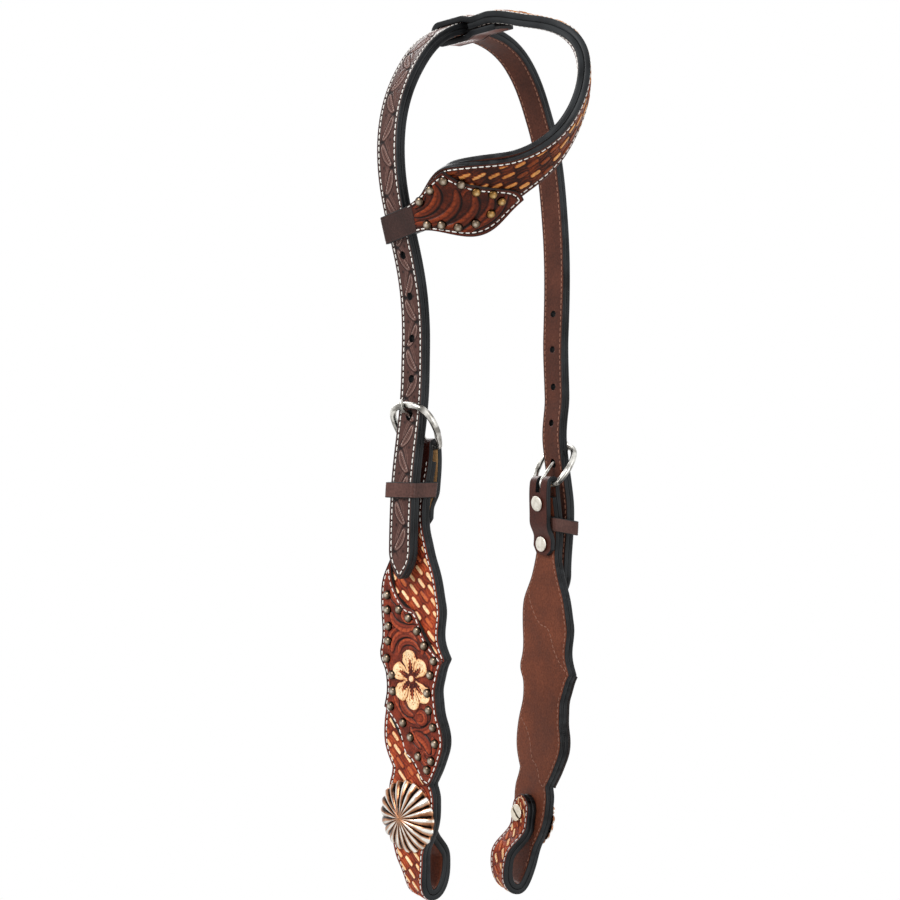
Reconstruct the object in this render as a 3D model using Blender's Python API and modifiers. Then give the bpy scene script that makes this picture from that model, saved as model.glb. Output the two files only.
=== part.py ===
"""Western slip-ear headstall: a crown strap, two scalloped cheeks with bit loops, and an ear piece.

The leather is cut flat and then bent: every layer is a grid laid along a path and thickened.
Frame: +X to the far cheek, the front edges face -Y, +Z up, origin at the crown's underside over the poll.
A cheek's own frame has its origin on the buckle bar: n runs outward, b to the rear and s down the cheek.
"""

import math

import bmesh
import bpy
import numpy as np
from mathutils import Matrix, Vector
from mathutils.geometry import interpolate_bezier

# Leather
LEATHER = 0.0028
OVERLAY_LEATHER = 0.0014
KEEPER_LEATHER = 0.0018
CLEARANCE = 0.0003
SLIDING_CLEARANCE = 0.0006
LAYER_STEP = LEATHER + CLEARANCE
STRAP_THICKNESS = LEATHER + LAYER_STEP

# Crown strap
STRAP_WIDTH = 0.016
TAIL_LENGTH = 0.069
POINT_LENGTH = 0.015
POINT_TIP_SHARE = 0.16
CROWN_HALF_WIDTH = 0.079
CROWN_DROP = 0.178
HOLE_DIAMETER = 0.0040
HOLE_PITCH = 0.022
FREE_HOLES = 4

# Where the cheeks hang
HALF_SPAN = 0.051
NEAR_DROP = 0.2285
FAR_DROP = 0.2500

# Cheek
CHEEK_LENGTH = 0.240
CHEEK_WIDTH = 0.0445
CHEEK_FACE = 0.0106
NECK_WIDTH = 0.0166
BIT_STRAP_WIDTH = 0.0165
NECK_RISE = 0.036
NEAR_LOOP_DEPTH = 0.0225
FAR_LOOP_DEPTH = 0.0240
LOOP_HEIGHT_SHARE = 0.1417
LOOP_HEIGHT = LOOP_HEIGHT_SHARE * CHEEK_LENGTH
BIT_TAB_REACH_SHARE = 0.2333
BIT_TAB_TOP = CHEEK_LENGTH * (1 - BIT_TAB_REACH_SHARE)
BUCKLE_TAB_LENGTH = 0.042

# Buckle
BAR_DIAMETER = 0.0032
ARCH_DIAMETER = 0.0036
BUCKLE_WIDTH = 0.0310
BUCKLE_HEIGHT = 0.0300
BUCKLE_HEEL_WIDTH = 0.0262
TONGUE_DIAMETER = 0.0021
TONGUE_HOLE_CLEARANCE = 0.0012
FOLD_SLOT_WIDTH = 0.0044
FOLD_SLOT_LENGTH = 0.011
SLOT_RISE = 0.0005

# Keeper and rivets
KEEPER_HEIGHT = 0.0082
TAB_BEND_PLACE = 0.0225
KEEPER_PLACE = 0.0225
RIVET_CAP_DIAMETER = 0.0090
RIVET_CAP_HEIGHT = 0.0010
RIVET_POST_DIAMETER = 0.0030
RIVET_STANDOFF = 0.0009
UPPER_RIVET_PLACE = 0.0112
LOWER_RIVET_PLACE = 0.0358

# Concho and its screw
CONCHO_DIAMETER = 0.0381
CONCHO_HEIGHT = 0.0068
CONCHO_FLUTES = 20
CONCHO_PLACE_SHARE = 0.8125
CONCHO_PLACE = CONCHO_PLACE_SHARE * CHEEK_LENGTH
CONCHO_SETBACK = 0.0020
SOCKET_DIAMETER = 0.0052
SCREW_DIAMETER = 0.0030
SCREW_HEAD_DIAMETER = 0.0096
SCREW_HEAD_HEIGHT = 0.0017
SCREW_SLOT_WIDTH = 0.0013
SCREW_SLOT_DEPTH = 0.0009

# Studs
STUD_DIAMETER = 0.0050
STUD_HEIGHT = 0.0019
STUD_INSET = 0.0050

# Ear piece
EAR_WIDTH = 0.044
WRAP_LEATHER = 0.0020
WRAP_HEIGHT = 0.0145
WRAP_SLANT = 9.5
WRAP_REACH = 0.0095

MERGE_DISTANCE = CLEARANCE / 100
NEAR = -1
FAR = 1
SIDES = {"near": NEAR, "far": FAR}
DROPS = {NEAR: NEAR_DROP, FAR: FAR_DROP}
LOOP_DEPTHS = {NEAR: NEAR_LOOP_DEPTH, FAR: FAR_LOOP_DEPTH}

# How each cheek hangs. Degrees of yaw at the buckle and gained further down, and of lean.
HANG = {
    NEAR: {
        "yaw": 0.3, "cheek_yaw": 0.0, "concho_yaw": 0.0, "loop_yaw": 14.0, "rear_lean": 0.0, "in_lean": 0.0,
    },
    FAR: {
        "yaw": 12.1, "cheek_yaw": 0.5, "concho_yaw": 5.0, "loop_yaw": 8.0, "rear_lean": 3.0, "in_lean": 6.3,
    },
}
BAR_FORE = {NEAR: 0.0013, FAR: -0.0020}
NECK_SWAY = {NEAR: 0.0, FAR: 0.0046}
KEEPER_DROOPS = {NEAR: 0.0, FAR: -8.0}
BUCKLE_SHIFTS = {NEAR: -0.0004, FAR: -0.0006}
# Shares of the cheek's length over which each change happens
CHEEK_TWIST_SHARES = (0.19, 0.46)
CONCHO_TWIST_SHARES = (0.50, 0.69)
LOOP_TWIST_SHARES = (0.905, 0.980)
LEAN_SHARES = (0.29, 0.58)
NECK_SWAY_SHARES = (0.03, 0.23)
# Paths are kept as dense points: Bezier arcs between knots that have headings
ARC_STEPS = 24
HANDLE_SHARE = 0.36
# Rows of a layer: closer where its path turns
ROW_PITCH = 0.014
ROW_TURN = 0.34
ROUND_SIDES = 10
HANG_STEPS = 129
ABOVE_BAR = CHEEK_LENGTH / 3
# The bends of a cheek, in its own n, s plane. Headings: 0 outward, 90 down the cheek.
FOLD_RADIUS = BAR_DIAMETER / 2 + CLEARANCE + LEATHER / 2
FOLD_SLOT_REACH_SHARE = 2.4
FOLD_SLOT_REACH = FOLD_RADIUS * FOLD_SLOT_REACH_SHARE
OUTER_MIDDLE = CHEEK_FACE - LEATHER / 2
LINING_MIDDLE = OUTER_MIDDLE - LAYER_STEP
TAB_END_MIDDLE = LINING_MIDDLE - LAYER_STEP
BIT_TAB_MIDDLE = TAB_END_MIDDLE - LAYER_STEP
# Knots round the bar in degrees, and the tab beyond them: outward places and degrees of slope
FOLD_TURNS = (0, -45, -90, -135, -172)
TAB_AT_KEEPER = -0.0024
TAB_AT_RIVET = 0.0026
TAB_KEEPER_SLOPE = 6.5
TAB_RIVET_SLOPE = 5.0
LOOP_KNEE_SHARE = 0.55
LOOP_WAIST_SHARE = 0.12
LOOP_SIDE_SHARE = 0.22
LOOP_SIDE_RISE_SHARE = 0.36
LOOP_SIDE_SLOPE = 14.0
# The cheek's outline: runs of (share of the length, share of the half width) that meet in points
REAR_SHARES = (
    ((0.150, 0.373), (0.188, 0.40), (0.250, 0.625), (0.292, 0.858), (0.329, 0.921), (0.365, 0.912),
     (0.432, 0.894), (0.4525, 0.948)),
    ((0.4525, 0.948), (0.474, 0.921), (0.490, 0.818), (0.515, 0.742), (0.544, 0.733), (0.565, 0.778),
     (0.588, 0.840), (0.625, 0.894), (0.667, 0.854), (0.692, 0.733), (0.710, 0.616)),
    ((0.710, 0.616), (0.725, 0.638), (0.750, 0.715), (0.800, 0.700), (0.850, 0.645), (0.881, 0.602),
     (0.917, 0.494), (0.938, 0.413), (0.962, 0.371)),
)
FRONT_SHARES = (
    ((0.150, 0.373), (0.188, 0.42), (0.2025, 0.467), (0.242, 0.598), (0.267, 0.706), (0.296, 0.804),
     (0.332, 0.885), (0.352, 0.926), (0.417, 0.885), (0.437, 0.952), (0.459, 1.083)),
    ((0.459, 1.083), (0.475, 0.984), (0.504, 0.885), (0.525, 0.827), (0.553, 0.845), (0.5825, 0.903),
     (0.606, 1.002), (0.650, 1.052), (0.675, 0.962), (0.700, 0.845), (0.735, 0.638)),
    ((0.735, 0.638), (0.758, 0.728), (0.779, 0.742), (0.808, 0.728), (0.833, 0.665), (0.860, 0.544),
     (0.885, 0.418), (0.920, 0.371)),
)
# A rounded end: the least of its half width, and its rows
END_CUT_SHARE = 0.25
END_ROW_SHARES = (0.12, 0.3, 0.6, 1.0)
TAB_CORNER_SHARE = 0.5
TAB_CORNER_WIDTH_SHARE = 0.6
CHEEK_COLUMNS = 2
LINING_TOP = 0.0075
# Lines of the overlay: (share across from the rear edge, share of the cheek's length)
OVERLAY_TOP_SHARES = (
    (0, 0.250), (0.10, 0.275), (0.17, 0.296), (0.25, 0.318), (0.34, 0.340), (0.47, 0.354), (0.58, 0.360),
    (0.65, 0.378), (0.72, 0.402), (0.80, 0.424), (0.90, 0.447), (1, 0.4655),
)
OVERLAY_BOTTOM_SHARES = (
    (0, 0.579), (0.13, 0.598), (0.20, 0.608), (0.28, 0.625), (0.34, 0.646), (0.39, 0.672), (0.48, 0.687),
    (0.60, 0.704), (0.68, 0.718), (0.80, 0.731), (1, 0.7375),
)
OVERLAY_MIDDLE = CHEEK_FACE + CLEARANCE + OVERLAY_LEATHER / 2
OVERLAY_COLUMNS = 12
OVERLAY_ROW_SHARES = (0, 0.14, 0.28, 0.42, 0.54, 0.6165, 0.67, 0.76, 0.86, 0.95, 1)
# Studs of the overlay: shares of the length down its two edges, then (share of the half width, of the length)
REAR_STUD_SHARES = (0.329, 0.362, 0.398, 0.431, 0.470, 0.505, 0.541, 0.575)
FRONT_STUD_SHARES = (0.4934, 0.5334, 0.5701, 0.6057, 0.6404, 0.6791)
LINE_STUD_SHARES = (
    (0.313, 0.3589), (0.0, 0.375), (-0.271, 0.4015), (-0.500, 0.4319), (-0.800, 0.462),
    (0.176, 0.607), (-0.071, 0.6356), (-0.319, 0.6742), (-0.590, 0.700),
)
STUD_SIDES = 8
STUD_SHOULDER_SHARE = 0.62
STUD_CROWN_SHARE = 0.30
# Every stud is sunk into the overlay by this share of its leather
STUD_ROOT_SHARE = 0.5
CONCHO_STEPS = 60
CONCHO_FLUTE_DEPTH_SHARE = 0.055
# The concho's section: (share of its radius, share of its height)
CONCHO_SHARES = (
    (0.0, 1.0), (0.12, 0.985), (0.30, 0.93), (0.50, 0.82), (0.72, 0.62), (0.90, 0.36), (1.0, 0.13),
)
CONCHO_FLUTE_SHARES = (0.0, 0.9)
SOCKET_CLEARANCE = CLEARANCE
BORE_CLEARANCE = CLEARANCE
# The socket ends short of the bit tab's inner face by this share of the leather
SOCKET_SHORT_SHARE = 0.25
SOCKET_REACH = CHEEK_FACE + CLEARANCE - (BIT_TAB_MIDDLE - LEATHER / 2) - SOCKET_SHORT_SHARE * LEATHER
BORE_DEPTH_SHARE = 0.45
HOLE_SIDES = 16
SCREW_STEPS = 24
SCREW_END_GAP = 0.0012
SCREW_SLOT_TURN = 35.0
BUCKLE_TILT = 33.8
ARCH_FULLNESS = 2.6
BAR_FILLET = 0.0028
ARCH_RADIUS = (BUCKLE_WIDTH - ARCH_DIAMETER) / 2
ARCH_CENTRE = BUCKLE_HEIGHT - BAR_DIAMETER / 2 - ARCH_DIAMETER / 2 - ARCH_RADIUS
ARCH_STEPS = 14
# Degrees by which the arch runs on past level at each side
ARCH_OVERRUN = 8
TONGUE_EYE_RADIUS = BAR_DIAMETER / 2 + CLEARANCE + TONGUE_DIAMETER / 2
TONGUE_EYE_START = -50.0
TONGUE_EYE_END = 213.5
TONGUE_EYE_STEPS = 12
TONGUE_TIP_SHARE = 0.6
TONGUE_SIDES = 8
# The tongue beyond its eye: (n, s) as shares of the buckle's height
TONGUE_SHARES = (
    (0.050, -0.217), (0.193, -0.367), (0.323, -0.487), (0.423, -0.580), (0.530, -0.627), (0.583, -0.667),
    (0.610, -0.727), (0.600, -0.785), (0.573, -0.840),
)
RIVET_STEPS = 20
RIVET_SHOULDER_SHARE = 0.65
RIVET_RIM_SHARE = 0.4
# The tail of the crown strap beside each cheek: (n, s, degrees of slope)
TAIL_TIP = (0.0168, TAIL_LENGTH, 1.5)
TAIL_AT_KEEPER = (0.0150, TAB_BEND_PLACE, 5.0)
TAIL_AT_BAR = (0.0119, 0.0, 9.5)
TAIL_AT_ARCH = (0.0081, -0.024, 6.0)
# The crown from the near side to the far side: (X, Z) as shares of its half width and its drop, and a heading
CROWN_SHARES = (
    (-0.732, -1.000, 88), (-0.817, -0.713, 108), (-0.975, -0.416, 90), (-0.745, -0.135, 53),
    (-0.152, 0.0120, 4), (0.342, -0.048, -42), (0.582, -0.202, -62), (0.778, -0.534, -83),
)
CROWN_YAWS = {NEAR: 8.4, FAR: 5.4}
FAR_CROWN_FOOT_SHARE = 0.770
FAR_FOOT_RISE = 0.0528
FAR_FOOT_SLOPE = 1
CROWN_COLUMNS = 2
CROWN_YAW_SHARE = 0.08
# Points over which the crown's yaw is averaged, and where it shifts from the near bar's line to the far one's
YAW_SMOOTHING = 15
CROWN_SHIFT_SHARES = (0.42, 0.58)
HOLD_RISE = HOLE_PITCH * 2
POINT_FULLNESS = 0.9
POINT_ROW_SHARES = (0.1, 0.25, 0.5, 0.75, 1)
CROWN_OUTWARD = 1
TONGUE_HOLE_SHARES = ((0.113, -0.293), (0.480, -0.633))
TONGUE_HOLE_DOWN = -0.0138
KEEPER_TILT = 10.5
KEEPER_INNER_N = 0.0004
KEEPER_SPAN = NECK_WIDTH + 2 * SLIDING_CLEARANCE + KEEPER_LEATHER
# How far the ear piece stands out in front of the crown
EAR_REACH = 0.086
# Spine of the ear piece's lining, from the slide wrap round the ear towards the crown:
# (X, Y, Z) as shares of the crown's half width, the ear's reach and the crown's drop
EAR_SPINE_SHARES = (
    (-0.8228, -0.4884, -0.5815), (-0.7089, -0.6744, -0.5365), (-0.5759, -0.8198, -0.4747),
    (-0.4684, -0.9419, -0.3820), (-0.4025, -1.0000, -0.2781), (-0.3620, -0.9593, -0.1685),
    (-0.3266, -0.7907, -0.0843), (-0.3038, -0.5698, -0.0393),
)
# From its outer edge to its inner edge, at each point of the spine
EAR_ACROSS = (
    (-0.50, -0.40, 0.76), (-0.56, -0.46, 0.70), (-0.68, -0.40, 0.60),
    (-0.80, -0.50, 0.32), (-0.84, -0.53, 0.02), (-0.84, -0.50, -0.16), (-0.92, -0.12, -0.28),
    (-0.94, 0.0, -0.33),
)
# Half widths as shares of the greatest, against shares of the spine's length
EAR_OUTER_SHARES = (
    (0, 0.33), (0.06, 0.36), (0.10, 0.55), (0.15, 0.80), (0.19, 0.84), (0.24, 0.66), (0.29, 0.50),
    (0.35, 0.43), (0.43, 0.41), (0.52, 0.39), (0.75, 0.39), (1, 0.39),
)
EAR_INNER_SHARES = (
    (0, 0.33), (0.06, 0.42), (0.10, 0.70), (0.15, 1.0), (0.19, 1.04), (0.24, 0.92), (0.29, 0.70),
    (0.35, 0.53), (0.43, 0.42), (0.52, 0.39), (0.75, 0.39), (1, 0.39),
)
EAR_CROWN_X = -0.0225
EAR_STEP = LAYER_STEP + CLEARANCE + CLEARANCE / 2
WRAP_DROP = 0.112
EAR_STANDOFF = 0.0015
EAR_START = STRAP_WIDTH / 2 + EAR_STANDOFF
EAR_STRAIGHT = 0.0260
EAR_LINING_END = 0.0130
EAR_UNDER_END = 0.0300
EAR_LOOP_RADIUS = STRAP_THICKNESS / 2 + CLEARANCE * 3 + LEATHER / 2
EAR_LOOP_INSET = 0.0010
EAR_LOOP_CENTRE = STRAP_WIDTH / 2 - EAR_LOOP_INSET
EAR_CLOSE = 0.0155
EAR_OPEN = 0.0085
EAR_STEPS = 240
EAR_COLUMNS = 6
EAR_ROW_PITCH = ROW_PITCH * 0.6
# Ends of the ear's overlay: (share across from the outer edge, share of the spine)
EAR_OVERLAY_START_SHARE = 0.055
EAR_OVERLAY_END_SHARES = ((0, 0.30), (0.25, 0.275), (0.5, 0.23), (0.75, 0.175), (1, 0.14))
EAR_OVERLAY_RISE = EAR_STEP + LEATHER / 2 + 2 * CLEARANCE + OVERLAY_LEATHER / 2
EAR_OVERLAY_COLUMNS = 6
EAR_OVERLAY_ROWS = 9
# Studs of the ear's overlay: (share along the ear piece, share across from the outer edge)
EAR_STUD_SHARES = (
    (0.0640, 0.87), (0.0970, 0.89), (0.1342, 0.88), (0.1690, 0.76), (0.1910, 0.60), (0.2200, 0.46),
    (0.2290, 0.28), (0.1966, 0.22), (0.1590, 0.19), (0.1225, 0.16), (0.0920, 0.18), (0.0630, 0.18),
)


def clear_scene():
    for obj in list(bpy.data.objects):
        bpy.data.objects.remove(obj, do_unlink=True)


def new_collection(name, hidden=False):
    collection = bpy.data.collections.new(name)
    bpy.context.scene.collection.children.link(collection)
    collection.hide_render = hidden
    return collection


clear_scene()
headstall = new_collection("western_headstall")
cutters = new_collection("cutters", hidden=True)


def material(name, colour, roughness, metallic=0.0):
    made = bpy.data.materials.new(name)
    made.use_nodes = True
    shader = made.node_tree.nodes["Principled BSDF"]
    shader.inputs["Base Color"].default_value = (*colour, 1.0)
    shader.inputs["Roughness"].default_value = roughness
    shader.inputs["Metallic"].default_value = metallic
    return made


def add_mesh(name, bm, surface=None, collection=headstall):
    mesh = bpy.data.meshes.new(name)
    bm.normal_update()
    bmesh.ops.recalc_face_normals(bm, faces=bm.faces)
    bm.to_mesh(mesh)
    bm.free()
    obj = bpy.data.objects.new(name, mesh)
    collection.objects.link(obj)
    if surface:
        mesh.materials.append(surface)
    if collection is cutters:
        obj.hide_render = True
        obj.display_type = "WIRE"
    return obj


def set_origin(obj, pivot):
    """Moves the origin to the pivot, in world space, and leaves the shape where it is."""
    obj.data.transform(Matrix.Translation(-Vector(pivot)))
    obj.location = pivot


def smooth_step(low, high, value):
    share = np.clip((value - low) / (high - low), 0, 1)
    return share * share * (3 - 2 * share)


def heading(degrees):
    return Vector((math.cos(math.radians(degrees)), math.sin(math.radians(degrees)), 0))


def bezier_path(knots):
    """Dense 2D points through knots of two coordinates and a heading in degrees."""
    points = []
    for (x0, y0, leaving), (x1, y1, arriving) in zip(knots, knots[1:]):
        start = Vector((x0, y0, 0))
        end = Vector((x1, y1, 0))
        reach = (end - start).length * HANDLE_SHARE
        arc = interpolate_bezier(
            start, start + reach * heading(leaving), end - reach * heading(arriving), end, ARC_STEPS
        )
        points += arc[:-1]
    return np.array(points + [end])[:, :2]


def lengths_along(points):
    return np.concatenate([[0], np.cumsum(np.linalg.norm(np.diff(points, axis=0), axis=1))])


def tangents_along(points):
    ahead = np.gradient(points, axis=0)
    return ahead / np.linalg.norm(ahead, axis=1, keepdims=True)


def left_of(points, distance):
    ahead = tangents_along(points)
    return points + distance * np.stack([-ahead[:, 1], ahead[:, 0]], axis=1)


def at_lengths(values, lengths, wanted):
    return np.stack([np.interp(wanted, lengths, column) for column in values.T], axis=-1)


def natural_curve(places, values, wanted):
    """A natural cubic through the values: smooth, and straight at both ends."""
    places = np.asarray(places, float)
    values = np.asarray(values, float)
    gaps = np.diff(places)
    count = len(places)
    system = np.eye(count)
    slopes = np.diff(values, axis=0) / gaps.reshape(-1, *[1] * (values.ndim - 1))
    right = np.zeros_like(values)
    for knot in range(1, count - 1):
        system[knot, knot - 1 : knot + 2] = gaps[knot - 1], 2 * (gaps[knot - 1] + gaps[knot]), gaps[knot]
        right[knot] = 6 * (slopes[knot] - slopes[knot - 1])
    bends = np.linalg.solve(system, right)
    wanted = np.asarray(wanted, float)
    cell = np.clip(np.searchsorted(places, wanted) - 1, 0, count - 2)
    shape = wanted.shape + (1,) * (values.ndim - 1)
    gap = gaps[cell].reshape(shape)
    before = (wanted - places[cell]).reshape(shape)
    after = gap - before
    return (
        (bends[cell] * after**3 + bends[cell + 1] * before**3) / (6 * gap)
        + (values[cell] / gap - bends[cell] * gap / 6) * after
        + (values[cell + 1] / gap - bends[cell + 1] * gap / 6) * before
    )


def rows_along(points, stations=(), pitch=ROW_PITCH):
    """Lengths along the path at which to cut rows, with the stations among them."""
    lengths = lengths_along(points)
    ahead = tangents_along(points)
    cosines = np.clip(np.sum(ahead[1:] * ahead[:-1], axis=1), -1, 1)
    effort = np.concatenate([[0], np.cumsum(np.arccos(cosines) / ROW_TURN + np.diff(lengths) / pitch)])
    inside = [station for station in stations if 0 < station < lengths[-1]]
    fixed = sorted({0.0, lengths[-1], *inside})
    rows = []
    for low, high in zip(fixed, fixed[1:]):
        first, last = np.interp([low, high], lengths, effort)
        count = max(1, math.ceil(last - first))
        rows += list(np.interp(np.linspace(first, last, count + 1)[:-1], effort, lengths))
    return np.array(rows + [fixed[-1]])


def layer(name, middle, thickness, surface):
    """A closed slab of leather round a grid of points in the middle of its thickness."""
    bm = bmesh.new()
    rows, columns = middle.shape[:2]
    corners = [[bm.verts.new(point) for point in row] for row in middle]
    for row in range(rows - 1):
        for column in range(columns - 1):
            bm.faces.new(
                (
                    corners[row][column],
                    corners[row][column + 1],
                    corners[row + 1][column + 1],
                    corners[row + 1][column],
                )
            )
    obj = add_mesh(name, bm, surface)
    slab = obj.modifiers.new("thickness", "SOLIDIFY")
    slab.thickness = thickness
    slab.offset = 0
    slab.use_even_offset = True
    return obj


def strip_points(centres, across, rear, front, columns):
    """Rows across a strip, from its rear edge to its front one."""
    shares = np.linspace(0, 1, columns + 1)
    reach = rear[:, None] - shares * (rear + front)[:, None]
    return centres[:, None, :] + reach[..., None] * across[:, None, :]


def ringed(name, rings, surface=None, collection=headstall, closed=False):
    """A solid skinned over rings of points: its ends are flat, or it closes on itself."""
    bm = bmesh.new()
    corners = [[bm.verts.new(point) for point in ring] for ring in rings]
    count = len(rings[0])
    joins = list(zip(corners, corners[1:]))
    if closed:
        joins.append((corners[-1], corners[0]))
    for first, second in joins:
        for corner in range(count):
            after = (corner + 1) % count
            bm.faces.new((first[corner], first[after], second[after], second[corner]))
    if not closed:
        bm.faces.new(corners[0])
        bm.faces.new(corners[-1])
    return add_mesh(name, bm, surface, collection)


def bar_rings(points, radii, closed=False, sides=ROUND_SIDES):
    """Rings of a round bar along 2D points, as (in-plane x, in-plane y, out of plane)."""
    ahead = tangents_along(points)
    if closed:
        ahead = tangents_along(np.concatenate([points[-1:], points, points[:1]]))[1:-1]
    left = np.stack([-ahead[:, 1], ahead[:, 0]], axis=1)
    turn = np.arange(sides) * math.tau / sides
    flat = points[:, None, :] + (radii[:, None] * np.cos(turn))[..., None] * left[:, None, :]
    out = np.broadcast_to(radii[:, None] * np.sin(turn), flat.shape[:2])
    return np.concatenate([flat, out[..., None]], axis=-1)


def turned(name, profile, frame, steps, surface=None, collection=headstall):
    """A solid turned round the frame's Z axis, from (radius, height) points listed top to bottom."""
    bm = bmesh.new()
    corners = [bm.verts.new((radius, 0, height)) for radius, height in profile]
    for first, second in zip(corners, corners[1:]):
        bm.edges.new((first, second))
    mesh = bpy.data.meshes.new(name)
    bm.to_mesh(mesh)
    bm.free()
    obj = bpy.data.objects.new(name, mesh)
    collection.objects.link(obj)
    if surface:
        mesh.materials.append(surface)
    if collection is cutters:
        obj.hide_render = True
        obj.display_type = "WIRE"
    screw = obj.modifiers.new("turn", "SCREW")
    screw.steps = steps
    screw.render_steps = steps
    screw.use_merge_vertices = True
    screw.merge_threshold = MERGE_DISTANCE
    obj.matrix_world = frame
    return obj


def cut_with(name, frames_and_sizes, boxes=(), others=()):
    """One hidden cutter made of round pins, boxes and ready rings."""
    bm = bmesh.new()
    for frame, diameter, length, sides in frames_and_sizes:
        bmesh.ops.create_cone(
            bm, cap_ends=True, segments=sides, radius1=diameter / 2, radius2=diameter / 2, depth=length,
            matrix=frame,
        )
    for corners in boxes:
        made = bmesh.ops.create_cube(bm, size=1)["verts"]
        signs = [[round(value * 2) for value in vertex.co] for vertex in made]
        for vertex, corner in zip(made, corners(signs)):
            vertex.co = corner
    for rings in others:
        rows = [[bm.verts.new(point) for point in ring] for ring in rings]
        for first, second in zip(rows, rows[1:]):
            for corner in range(len(first)):
                after = (corner + 1) % len(first)
                bm.faces.new((first[corner], first[after], second[after], second[corner]))
        bm.faces.new(rows[0])
        bm.faces.new(rows[-1])
    return add_mesh(name, bm, collection=cutters)


def boolean(obj, other, operation="DIFFERENCE"):
    change = obj.modifiers.new(operation.lower(), "BOOLEAN")
    change.operation = operation
    change.solver = "EXACT"
    change.object = other


def frame_on(origin, axis, side_hint):
    """A frame whose Z runs along the axis and whose X lies nearest the hint."""
    up = Vector(axis).normalized()
    right = Vector(side_hint)
    right = (right - right.dot(up) * up).normalized()
    frame = Matrix((right, up.cross(right), up)).transposed().to_4x4()
    frame.translation = Vector(origin)
    return frame


def hang(side):
    """Returns place(n, b, s), which carries points of a cheek's own frame to the world."""
    how = HANG[side]
    downs = np.linspace(-ABOVE_BAR, CHEEK_LENGTH + NECK_RISE, HANG_STEPS)
    shares = downs / CHEEK_LENGTH
    lean = smooth_step(*LEAN_SHARES, shares)
    rear = lean * math.tan(math.radians(how["rear_lean"]))
    neck = (shares - NECK_SWAY_SHARES[0]) / (NECK_SWAY_SHARES[1] - NECK_SWAY_SHARES[0])
    neck = np.clip(neck, 0, 1)
    # The neck sways to the rear by a smooth step, and this is that step's slope
    sway_run = (NECK_SWAY_SHARES[1] - NECK_SWAY_SHARES[0]) * CHEEK_LENGTH
    rear += NECK_SWAY[side] * 6 * neck * (1 - neck) / sway_run
    inward = lean * math.tan(math.radians(how["in_lean"]))
    ahead = np.stack([-side * inward, rear, -np.ones_like(downs)], axis=1)
    ahead /= np.linalg.norm(ahead, axis=1, keepdims=True)
    steps = np.diff(downs)[:, None] * (ahead[1:] + ahead[:-1]) / 2
    origins = np.concatenate([np.zeros((1, 3)), np.cumsum(steps, axis=0)])
    bar = np.array([side * HALF_SPAN, BAR_FORE[side], -DROPS[side]])
    origins += bar - at_lengths(origins, downs, 0.0)

    def place(n, b, s):
        n, b, s = np.broadcast_arrays(np.asarray(n, float), np.asarray(b, float), np.asarray(s, float))
        share = s / CHEEK_LENGTH
        yaw = how["yaw"] + how["cheek_yaw"] * smooth_step(*CHEEK_TWIST_SHARES, share)
        yaw = yaw + how["concho_yaw"] * smooth_step(*CONCHO_TWIST_SHARES, share)
        yaw = np.radians(yaw + how["loop_yaw"] * smooth_step(*LOOP_TWIST_SHARES, share))
        down = at_lengths(ahead, downs, s)
        down = down / np.linalg.norm(down, axis=-1, keepdims=True)
        out = side * np.stack([np.cos(yaw), -np.sin(yaw), np.zeros_like(yaw)], axis=-1)
        out = out - np.sum(out * down, axis=-1, keepdims=True) * down
        out = out / np.linalg.norm(out, axis=-1, keepdims=True)
        rearward = side * np.cross(out, down)
        return at_lengths(origins, downs, s) + n[..., None] * out + b[..., None] * rearward

    return place


def frame_in(place, n, b, s, axis):
    """A frame at a point of a cheek, with its Z along an (n, s) direction and its X to the rear."""
    origin = place(n, b, s)
    tip = place(n + axis[0] * CLEARANCE, b, s + axis[1] * CLEARANCE)
    return frame_on(origin, tip - origin, place(n, b + CLEARANCE, s) - origin)


def on_fold(degrees):
    turn = math.radians(degrees)
    return (FOLD_RADIUS * math.cos(turn), FOLD_RADIUS * math.sin(turn), degrees - 90)


def cheek_knots(side):
    """The outer layer's middle, from the bit tab round the loop, up the face and over the bar to its end."""
    bottom = CHEEK_LENGTH - LEATHER / 2
    deepest = CHEEK_FACE - LOOP_DEPTHS[side] + LEATHER / 2
    leg = bottom - LOOP_HEIGHT
    middle = (deepest + OUTER_MIDDLE) / 2
    side_bottom = bottom - LOOP_HEIGHT * LOOP_SIDE_RISE_SHARE
    return [
        (BIT_TAB_MIDDLE, BIT_TAB_TOP, 90),
        (BIT_TAB_MIDDLE, bottom - LOOP_HEIGHT * (1 + LOOP_WAIST_SHARE), 90),
        (deepest, bottom - LOOP_HEIGHT * LOOP_KNEE_SHARE, 90),
        (middle, bottom, 0),
        (OUTER_MIDDLE - (OUTER_MIDDLE - middle) * LOOP_SIDE_SHARE, side_bottom, LOOP_SIDE_SLOPE - 90),
        (OUTER_MIDDLE, leg, -90),
        (OUTER_MIDDLE, NECK_RISE, -90),
        *[on_fold(turn) for turn in FOLD_TURNS],
        (TAB_AT_KEEPER, TAB_BEND_PLACE, -270 - TAB_KEEPER_SLOPE),
        (TAB_AT_RIVET, LOWER_RIVET_PLACE - RIVET_CAP_DIAMETER / 4, -270 - TAB_RIVET_SLOPE),
        (TAB_END_MIDDLE, BUCKLE_TAB_LENGTH, -270),
    ]


def outline(runs, downs):
    """Half widths of the cheek at these distances down it."""
    shares = np.asarray(downs, float) / CHEEK_LENGTH
    found = np.full(shares.shape, NECK_WIDTH / 2)
    for run in runs:
        places, widths = np.array(run).T
        inside = (shares >= places[0]) & (shares <= places[-1])
        found = np.where(inside, natural_curve(places, widths, shares) * CHEEK_WIDTH / 2, found)
    return np.where(shares > runs[-1][-1][0], BIT_STRAP_WIDTH / 2, found)


def outline_stations(runs):
    return [place * CHEEK_LENGTH for run in runs for place, width in run]


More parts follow.
